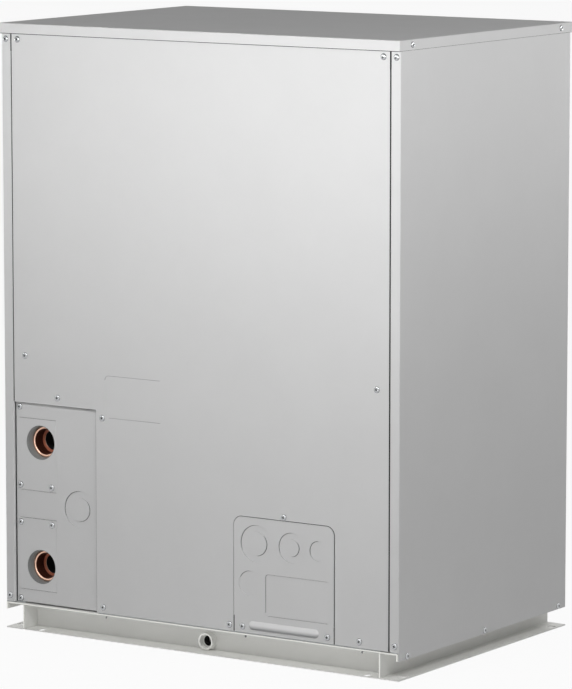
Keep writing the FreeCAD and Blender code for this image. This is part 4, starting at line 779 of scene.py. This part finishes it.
class UNIT_OT_lay_seals(bpy.types.Operator):
    """Lays dark strips that paint the shadow lines in the panels' joints and under their edges, the
    knock-outs' cut lines and the base's bare cut edges
    """
    bl_idname = "unit.lay_seals"
    bl_label = "Lay the joint seals"

    def execute(self, context):
        # Painted shadow: nearly black, fully matt strips in the joints and under the edges
        joint_shadow = dull_solid("joint_painted_shadow", "#1E1E1E", 0.95, 600.0, 0.1, 0.3)
        # Knock-outs' cut lines, nearly black: partly the real cut, partly painted shade, widest where the
        # shade falls
        cut_shade = dull_solid("cut_line_painted_shade", "#2B2B2C", 0.7, 600.0, 0.1, 0.2)
        for name, build, material, slot_name in (
            ("joint_seals", self.lines, joint_shadow, "mount_rubber"),
            ("knockout_cuts", self.cuts, cut_shade, "casing_paint"),
            ("base_cut_edges", self.edges, bare_edge(), "base_paint"),
        ):
            mount_piece(object_from(name, mesh_from(build), material), slot_name)
        return {"FINISHED"}

    @staticmethod
    def edges(bm):
        low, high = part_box("base_pan")
        depth = (low.y - 0.9 * MM, low.y + 0.1 * MM)
        lip = high.z - 2.0 * MM
        add_slab(bm, (low.x, high.x), depth, (lip, high.z))
        rail_low, rail_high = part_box("base_rail_right")
        rail_depth = (rail_low.y - 0.4 * MM, rail_low.y + 0.1 * MM)
        web = rail_high.x - RAIL_FOOT
        for side in (-1, 1):
            flange_x = sorted((side * high.x, side * (high.x - 2.6 * MM)))
            add_slab(bm, flange_x, depth, (low.z, lip))
            web_x = sorted((side * web, side * (web - RAIL_SHEET)))
            add_slab(bm, web_x, rail_depth, (rail_low.z + RAIL_SHEET, rail_high.z))

    @staticmethod
    def cuts(bm):
        deep = bpy.context.scene.unit_casing.press_depth * MM

        def cut_shade(path, widths, floor):
            add_seam(bm, path, widths, floor - 0.3 * MM, floor + 0.1 * MM)

        def ring(centre, outer, inner, width, floor):
            # The strips widen to the middle of each arc, the upper left of the rings and the lower right of
            # the discs, where painted shade falls
            steps, inset = 24, 0.4 * MM
            widths = [width * max(math.sin(math.pi * i / steps), 0.08) ** 0.6 for i in range(steps + 1)]
            cut_shade(arc(centre, outer - inset, 205, 70, steps), widths, floor)
            if inner:
                cut_shade(arc(centre, inner + inset, 45, -100, steps), widths, floor)

        for centre, outer, inner, width in knockouts():
            ring(centre, outer, inner, width, FRONT + deep)
        ring(WATER_KNOCKOUT, *WATER_KNOCKOUT_RADII, 0.8, WATER_FACE + deep)
        floor = FRONT + FIELD_SHARE * deep
        x, z = cable_field()
        inset, radius = 0.3 * MM, 6 * MM
        left, top = x[0] + inset, z[1] - inset
        corner = arc((left + radius, top - radius), radius, 180, 90, 6)
        path = [(left, z[0] + radius), *corner, (x[1] - radius, top)]
        cut_shade(path, [0.45] * 8 + [0.3], floor)
        cut_shade([(x[0] + radius, z[0] + inset), (x[1] - radius, z[0] + inset)], [0.3, 0.2], floor)

    def lines(self, bm):
        for part in (self.lid_lines, self.upright_lines, self.access_line, self.field_lines):
            part(bm)

    @staticmethod
    def lid_lines(bm):
        # Painted shadow: a near-black strip under the lid's front and side skirts
        low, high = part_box("top_panel")
        skirt, inside = low.z, SHEET + 0.05 * MM
        x = (low.x + 1.5 * MM, high.x - 1.5 * MM)
        add_slab(bm, x, (low.y + inside, FRONT), (skirt - 1.1 * MM, skirt + MM))
        for side in (-1, 1):
            x = sorted((side * (high.x - 1.2 * MM), side * (high.x - 0.3 * MM)))
            add_slab(bm, x, (low.y + inside, high.y - inside), (skirt - 0.45 * MM, skirt))

    @staticmethod
    def upright_lines(bm):
        # Painted shadow lines: near-black strips in the joints beside the front panel, down the water
        # recess's left side and under the notch's top edge, widening to the right
        joint, post = 399.75 * MM, FRONT + 1.35 * MM
        notch, head, top = 418 * MM, 1050 * MM, 1080.9 * MM
        add_seam(bm, [(joint, PANEL_FOOT), (joint, head)], 1.9, FRONT - 0.1 * MM, post)
        add_seam(bm, [(joint, head), (joint, top)], 2.5, FRONT - 0.15 * MM, post)
        add_seam(bm, [(-joint, notch), (-joint, head)], 0.65, FRONT + 0.3 * MM, post)
        add_seam(bm, [(-joint, head), (-joint, top)], 1.6, FRONT - 0.05 * MM, post)
        add_slab(bm, (-399.9 * MM, -399.6 * MM), (FRONT + 4.3 * MM, WATER_FACE), (PANEL_FOOT, notch))
        low_edge = [(-399 * MM, 417.2 * MM), (WATER_EDGE - 0.2 * MM, 417.2 * MM)]
        add_seam(bm, low_edge, [0.4, 1.5], FRONT + 0.6 * MM, FRONT + SHEET)
        edge = WATER_EDGE - 0.3 * MM
        add_seam(bm, [(edge, PANEL_FOOT), (edge, 417 * MM)], 0.3, FRONT + 0.2 * MM, FRONT + SHEET)

    @staticmethod
    def access_line(bm):
        # Painted shade in the gap round the access panel, widest on the right
        left, right, high = ACCESS_LOW.x - 1.7 * MM, ACCESS_HIGH.x + 1.1 * MM, ACCESS_HIGH.z + 1.5 * MM
        radius, foot = 16.4 * MM, 50.5 * MM
        path = [(left, RIM_FOOT), *arc((left + radius, high - radius), radius, 180, 90, 12)]
        path += [*arc((right - radius, high - radius), radius, 90, 0, 12), (right, RIM_FOOT)]
        widths = [0.45] + [0.6] * 13 + [0.9] * 13 + [1.4]
        add_seam(bm, path, widths, FRONT + 0.6 * MM, FRONT + 1.38 * MM)
        for x, width in ((left + 0.6 * MM, 1.9), (right, 2.15)):
            add_seam(bm, [(x, foot), (x, RIM_FOOT)], width, FRONT + 0.15 * MM, FRONT + SHEET)

    @staticmethod
    def field_lines(bm):
        # Painted shadow lines round the label field and along the top and bottom edges of the pipe plates
        left, right, low, high, radius = -197.4 * MM, -74 * MM, 405.2 * MM, 480.8 * MM, 8 * MM
        near, far = FRONT + 0.02 * MM, FRONT + 0.5 * MM
        path = [*arc((left + radius, high - radius), radius, 180, 90, 8), (right, high)]
        add_seam(bm, path, [0.12 + 0.02 * i for i in range(9)] + [0.42], near, far)
        add_seam(bm, [(left + radius, low), (right, low)], [0.2, 0.38], near, far)
        for name in PIPE_PLATES:
            a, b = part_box(name)
            for z in (a.z - 0.15 * MM, b.z + 0.15 * MM):
                add_seam(bm, [(a.x + 6 * MM, z), (b.x, z)], [0.2, 0.4], a.y + 0.2 * MM, b.y)


# Screws

def islands(node):
    """The boxes of the separate solids in a node, as (lowest corner, highest corner)."""
    bm = bmesh.new()
    bm.from_mesh(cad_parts[node].data)
    bmesh.ops.remove_doubles(bm, verts=bm.verts, dist=1e-5)
    seen, boxes = set(), []
    for start in bm.verts:
        if start in seen:
            continue
        seen.add(start)
        solid = [start]
        for vert in solid:  # The list grows while it is walked
            for edge in vert.link_edges:
                other = edge.other_vert(vert)
                if other not in seen:
                    seen.add(other)
                    solid.append(other)
        low, high = (Vector([pick(v.co[i] for v in solid) for i in range(3)]) for pick in (min, max))
        boxes.append((low, high))
    bm.free()
    return boxes


def screw_seats(node, height):
    """Where each screw's head sits and which way it faces, read from the CAD solids."""
    seats = []
    for low, high in islands(node):
        middle = (low + high) / 2
        size = high - low
        axis = max(range(3), key=lambda i: size[i])
        facing = Vector()
        facing[axis] = 1 if axis == 2 or middle[axis] > 0 else -1
        seat = middle.copy()
        edge = high[axis] if facing[axis] > 0 else low[axis]
        seat[axis] = edge - facing[axis] * height
        seats.append((seat, facing))
    return seats


def screw_mesh(settings):
    """One self-tapping pan-head screw with a cross recess, its seat at the origin, facing +Z."""
    r, h = settings.head_radius, settings.head_height
    profile = [(0, h), (r * 0.35, h * 0.985), (r * 0.6, h * 0.92), (r * 0.8, h * 0.74), (r * 0.93, h * 0.45)]
    profile += [(r * 0.985, h * 0.18), (r, 0), (1.7, 0)]
    core, crest, pitch, along = 1.5, 1.98, 1.4, -0.8
    while along > -10.0:
        profile += [(core, along), (crest, along - pitch / 4), (core, along - pitch / 2)]
        along -= pitch
    profile += [(1.3, -10.6), (0, -12)]
    head = object_from("screw_blank", revolve(profile, Vector(), UPWARD, 28, False), zinc_plate())
    half, depth = settings.recess / 2, h * 0.62

    def cross(bm):
        for turn in (0, 90):
            arm = Matrix.Rotation(math.radians(turn), 4, "Z")
            levels = []
            for length, width, z in ((half * 0.6, 0.5, h - depth), (half, 0.9, h + 0.5)):
                corners = ((-length, -width), (length, -width), (length, width), (-length, width))
                levels.append([bm.verts.new(arm @ Vector((x * MM, y * MM, z * MM))) for x, y in corners])
            bottom, top = levels
            bm.faces.new(bottom[::-1])
            bm.faces.new(top)
            bridge(bm, bottom, top)

    tool = object_from("cross_tool", mesh_from(cross), zinc_plate())
    cut = head.modifiers.new("Recess", "BOOLEAN")
    cut.operation, cut.solver, cut.object, cut.use_self = "DIFFERENCE", "EXACT", tool, True
    settle(head)
    bpy.data.objects.remove(tool)
    smooth_faces(head, 35)
    return head


def screw_tree(screw, material):
    """A node tree that sets a screw on every point, turned to the point's facing direction."""
    tree = bpy.data.node_groups.new("set_screws", "GeometryNodeTree")
    for name, way, kind in (("Geometry", "INPUT", "Geometry"), ("Size", "INPUT", "Float"),
                            ("Turn seed", "INPUT", "Int"), ("Geometry", "OUTPUT", "Geometry")):
        tree.interface.new_socket(name, in_out=way, socket_type="NodeSocket" + kind)
    entry = add_node(tree, "NodeGroupInput")
    facing = add_node(tree, "GeometryNodeInputNamedAttribute",
                      {"data_type": "FLOAT_VECTOR", "Name": "facing"})
    aim = add_node(tree, "FunctionNodeAlignRotationToVector", {"axis": "Z"},
                   {"Vector": facing.outputs["Attribute"]})
    turn = add_node(tree, "FunctionNodeRandomValue", {"data_type": "FLOAT", 3: 2 * math.pi},
                    {"Seed": entry.outputs["Turn seed"]})
    spin = add_node(tree, "ShaderNodeCombineXYZ", links={"Z": turn.outputs[1]})
    spun = add_node(tree, "FunctionNodeEulerToRotation", links={0: spin})
    both = add_node(tree, "FunctionNodeRotateRotation", {"rotation_space": "LOCAL"},
                    {"Rotation": aim, "Rotate By": spun})
    source = add_node(tree, "GeometryNodeObjectInfo", {"Object": screw})
    placed = add_node(tree, "GeometryNodeInstanceOnPoints", links={
        "Points": entry.outputs["Geometry"], "Instance": source.outputs["Geometry"],
        "Rotation": both, "Scale": entry.outputs["Size"]})
    real = add_node(tree, "GeometryNodeRealizeInstances", links={"Geometry": placed})
    dressed = add_node(tree, "GeometryNodeSetMaterial", {"Material": material}, {"Geometry": real})
    add_node(tree, "NodeGroupOutput", links={"Geometry": dressed})
    return tree


class UNIT_OT_set_screws(bpy.types.Operator):
    """Sets a cross-recess screw at every place where the CAD has one"""
    bl_idname = "unit.set_screws"
    bl_label = "Set the screws"

    def execute(self, context):
        settings = context.scene.unit_screws
        screw = screw_mesh(settings)
        tree = screw_tree(screw, screw.data.materials[0])
        sockets = {s.name: s.identifier for s in tree.interface.items_tree if s.in_out == "INPUT"}
        for node in ("screws_front", "screws_sides", "screws_rear", "screws_sill"):
            seats = screw_seats(node, SCREW_HEAD_HEIGHT)
            mesh = bpy.data.meshes.new(node + "_seats")
            mesh.from_pydata([seat for seat, facing in seats], [], [])
            directions = mesh.attributes.new("facing", "FLOAT_VECTOR", "POINT")
            for item, (seat, facing) in zip(directions.data, seats):
                item.vector = facing
            piece = bpy.data.objects.new(node + "_set", mesh)
            context.scene.collection.objects.link(piece)
            setter = piece.modifiers.new("Set screws", "NODES")
            setter.node_group = tree
            setter[sockets["Size"]] = 1.0
            setter[sockets["Turn seed"]] = settings.seed
            settle(piece)
            mount_piece(piece, "screw_steel", node)
        bpy.data.objects.remove(screw)
        return {"FINISHED"}


# Stage

# The camera's place and how far it looks down and round in degrees, the floor's reach, and the share
# of even glow in it where it is seen straight or mirrored
CAMERA_PLACE = (4.2761, -6.4789, 1.6082)
CAMERA_DIP = 7.992
CAMERA_TURN = 33.4307
FLOOR_REACH = 30
FLOOR_GLOW = 0.93


class UNIT_OT_set_stage(bpy.types.Operator):
    """Makes the floor, the lamps, the white room and the camera"""
    bl_idname = "unit.set_stage"
    bl_label = "Set the stage"

    def execute(self, context):
        settings = context.scene.unit_stage
        self.camera(context, settings)
        self.floor()
        self.lamps(context, settings)
        self.room(context, settings)
        context.scene.view_settings.view_transform = "Standard"
        return {"FINISHED"}

    @staticmethod
    def camera(context, settings):
        data = bpy.data.cameras.new("camera")
        data.lens = settings.lens
        data.sensor_width = 36
        data.clip_end = 60
        camera = bpy.data.objects.new("camera", data)
        camera.location = CAMERA_PLACE
        camera.rotation_euler = (math.radians(90 - CAMERA_DIP), 0, math.radians(CAMERA_TURN))
        context.scene.collection.objects.link(camera)
        context.scene.camera = camera

    @staticmethod
    def floor():
        material, tree, place = new_material("pale_floor")
        grain = add_node(tree, "ShaderNodeTexNoise", {"Scale": 3.0}, {"Vector": place})
        dull = add_node(tree, "ShaderNodeMapRange", {"To Min": 0.7, "To Max": 0.8}, {"Value": grain})
        lit = add_node(tree, "ShaderNodeBsdfPrincipled", {"Base Color": linear("#F2F2F2")},
                       {"Roughness": dull})
        bright = add_node(tree, "ShaderNodeEmission", {"Strength": 1.0})
        seen = add_node(tree, "ShaderNodeLightPath")
        straight = add_node(tree, "ShaderNodeMath", {"operation": "MAXIMUM"},
                            {0: seen.outputs["Is Camera Ray"], 1: seen.outputs["Is Glossy Ray"]})
        share = add_node(tree, "ShaderNodeMath", {"operation": "MULTIPLY", 1: FLOOR_GLOW}, {0: straight})
        mixed = add_node(tree, "ShaderNodeMixShader", links={"Fac": share, 1: lit, 2: bright})
        close_material(material, mixed)

        def sheet(bm):
            size, low = FLOOR_REACH, CAD_BOX[0].z
            corners = ((-size, -size), (size, -size), (size, size), (-size, size))
            bm.faces.new([bm.verts.new((x, y, low)) for x, y in corners])

        object_from("floor", mesh_from(sheet), material)

    @staticmethod
    def lamps(context, settings):
        for name, place, aim, size, share in (
            ("front_strip", (0.4, -1.187, 1.12), (0.4, 0.0, 1.1), (2.0, 0.2), 1.0),
            ("side_strip", (1.32, 0.3, 1.25), (0.0, 0.3, 1.23), (3.0, 0.2), 0.71),
            ("floor_strip", (0.3, -1.6, 0.25), (0.2, -0.28, 0.05), (1.6, 0.2), 0.12),
            ("rear_strip", (0.0, 1.2, 0.9), (0.0, 0.0, 0.9), (2.0, 0.2), 0.4),
            ("left_strip", (-1.32, 0.0, 0.9), (0.0, 0.0, 0.9), (1.6, 0.2), 0.4),
        ):
            data = bpy.data.lights.new(name, "AREA")
            data.shape = "RECTANGLE"
            data.size, data.size_y, data.energy = size[0], size[1], settings.key_power * share
            lamp = bpy.data.objects.new(name, data)
            lamp.location = place
            lamp.rotation_euler = (Vector(aim) - Vector(place)).to_track_quat("-Z", "Y").to_euler()
            lamp.visible_camera = False
            context.scene.collection.objects.link(lamp)

    @staticmethod
    def room(context, settings):
        world = bpy.data.worlds.new("white_room")
        world.use_nodes = True
        tree = world.node_tree
        tree.nodes.clear()
        seen = add_node(tree, "ShaderNodeLightPath")
        mirror = add_node(tree, "ShaderNodeMath", {"operation": "MAXIMUM"},
                          {0: seen.outputs["Is Glossy Ray"], 1: seen.outputs["Is Transmission Ray"]})
        direct = add_node(tree, "ShaderNodeMath", {"operation": "MAXIMUM"},
                          {0: seen.outputs["Is Camera Ray"], 1: mirror})
        strength = add_node(tree, "ShaderNodeMapRange", {"To Min": settings.room, "To Max": 1.0},
                            {"Value": direct})
        back = add_node(tree, "ShaderNodeBackground", {"Color": (1, 1, 1, 1)}, {"Strength": strength})
        add_node(tree, "ShaderNodeOutputWorld", links={"Surface": back})
        context.scene.world = world


class UNIT_PT_panel(bpy.types.Panel):
    """Lists the steps that dress the unit"""
    bl_label = "Outdoor unit"
    bl_space_type = "VIEW_3D"
    bl_region_type = "UI"
    bl_category = "Unit"

    def draw(self, context):
        for operator in OPERATORS:
            self.layout.operator(operator.bl_idname)
        for group in SETTINGS:
            box = self.layout.box()
            for key in getattr(context.scene, group).bl_rna.properties.keys():
                if key not in ("rna_type", "name"):
                    box.prop(getattr(context.scene, group), key)


SETTINGS = {
    "unit_casing": CasingSettings,
    "unit_base": BaseSettings,
    "unit_screws": ScrewSettings,
    "unit_sockets": SocketSettings,
    "unit_stage": StageSettings,
}
OPERATORS = (
    UNIT_OT_set_stage,
    UNIT_OT_coat_casing,
    UNIT_OT_coat_base,
    UNIT_OT_finish_inside,
    UNIT_OT_press_access_panel,
    UNIT_OT_press_water_side,
    UNIT_OT_turn_sockets,
    UNIT_OT_turn_drain,
    UNIT_OT_lay_seals,
    UNIT_OT_set_screws,
)


def register():
    for item in (*SETTINGS.values(), *OPERATORS, UNIT_PT_panel):
        bpy.utils.register_class(item)
    for name, group in SETTINGS.items():
        setattr(bpy.types.Scene, name, PointerProperty(type=group))


def unregister():
    for name in SETTINGS:
        delattr(bpy.types.Scene, name)
    for item in (UNIT_PT_panel, *reversed(OPERATORS), *reversed(SETTINGS.values())):
        bpy.utils.unregister_class(item)


def main():
    register()
    for operator in OPERATORS:
        getattr(bpy.ops.unit, operator.bl_idname.split(".")[1])()


if __name__ == "__main__":
    main()
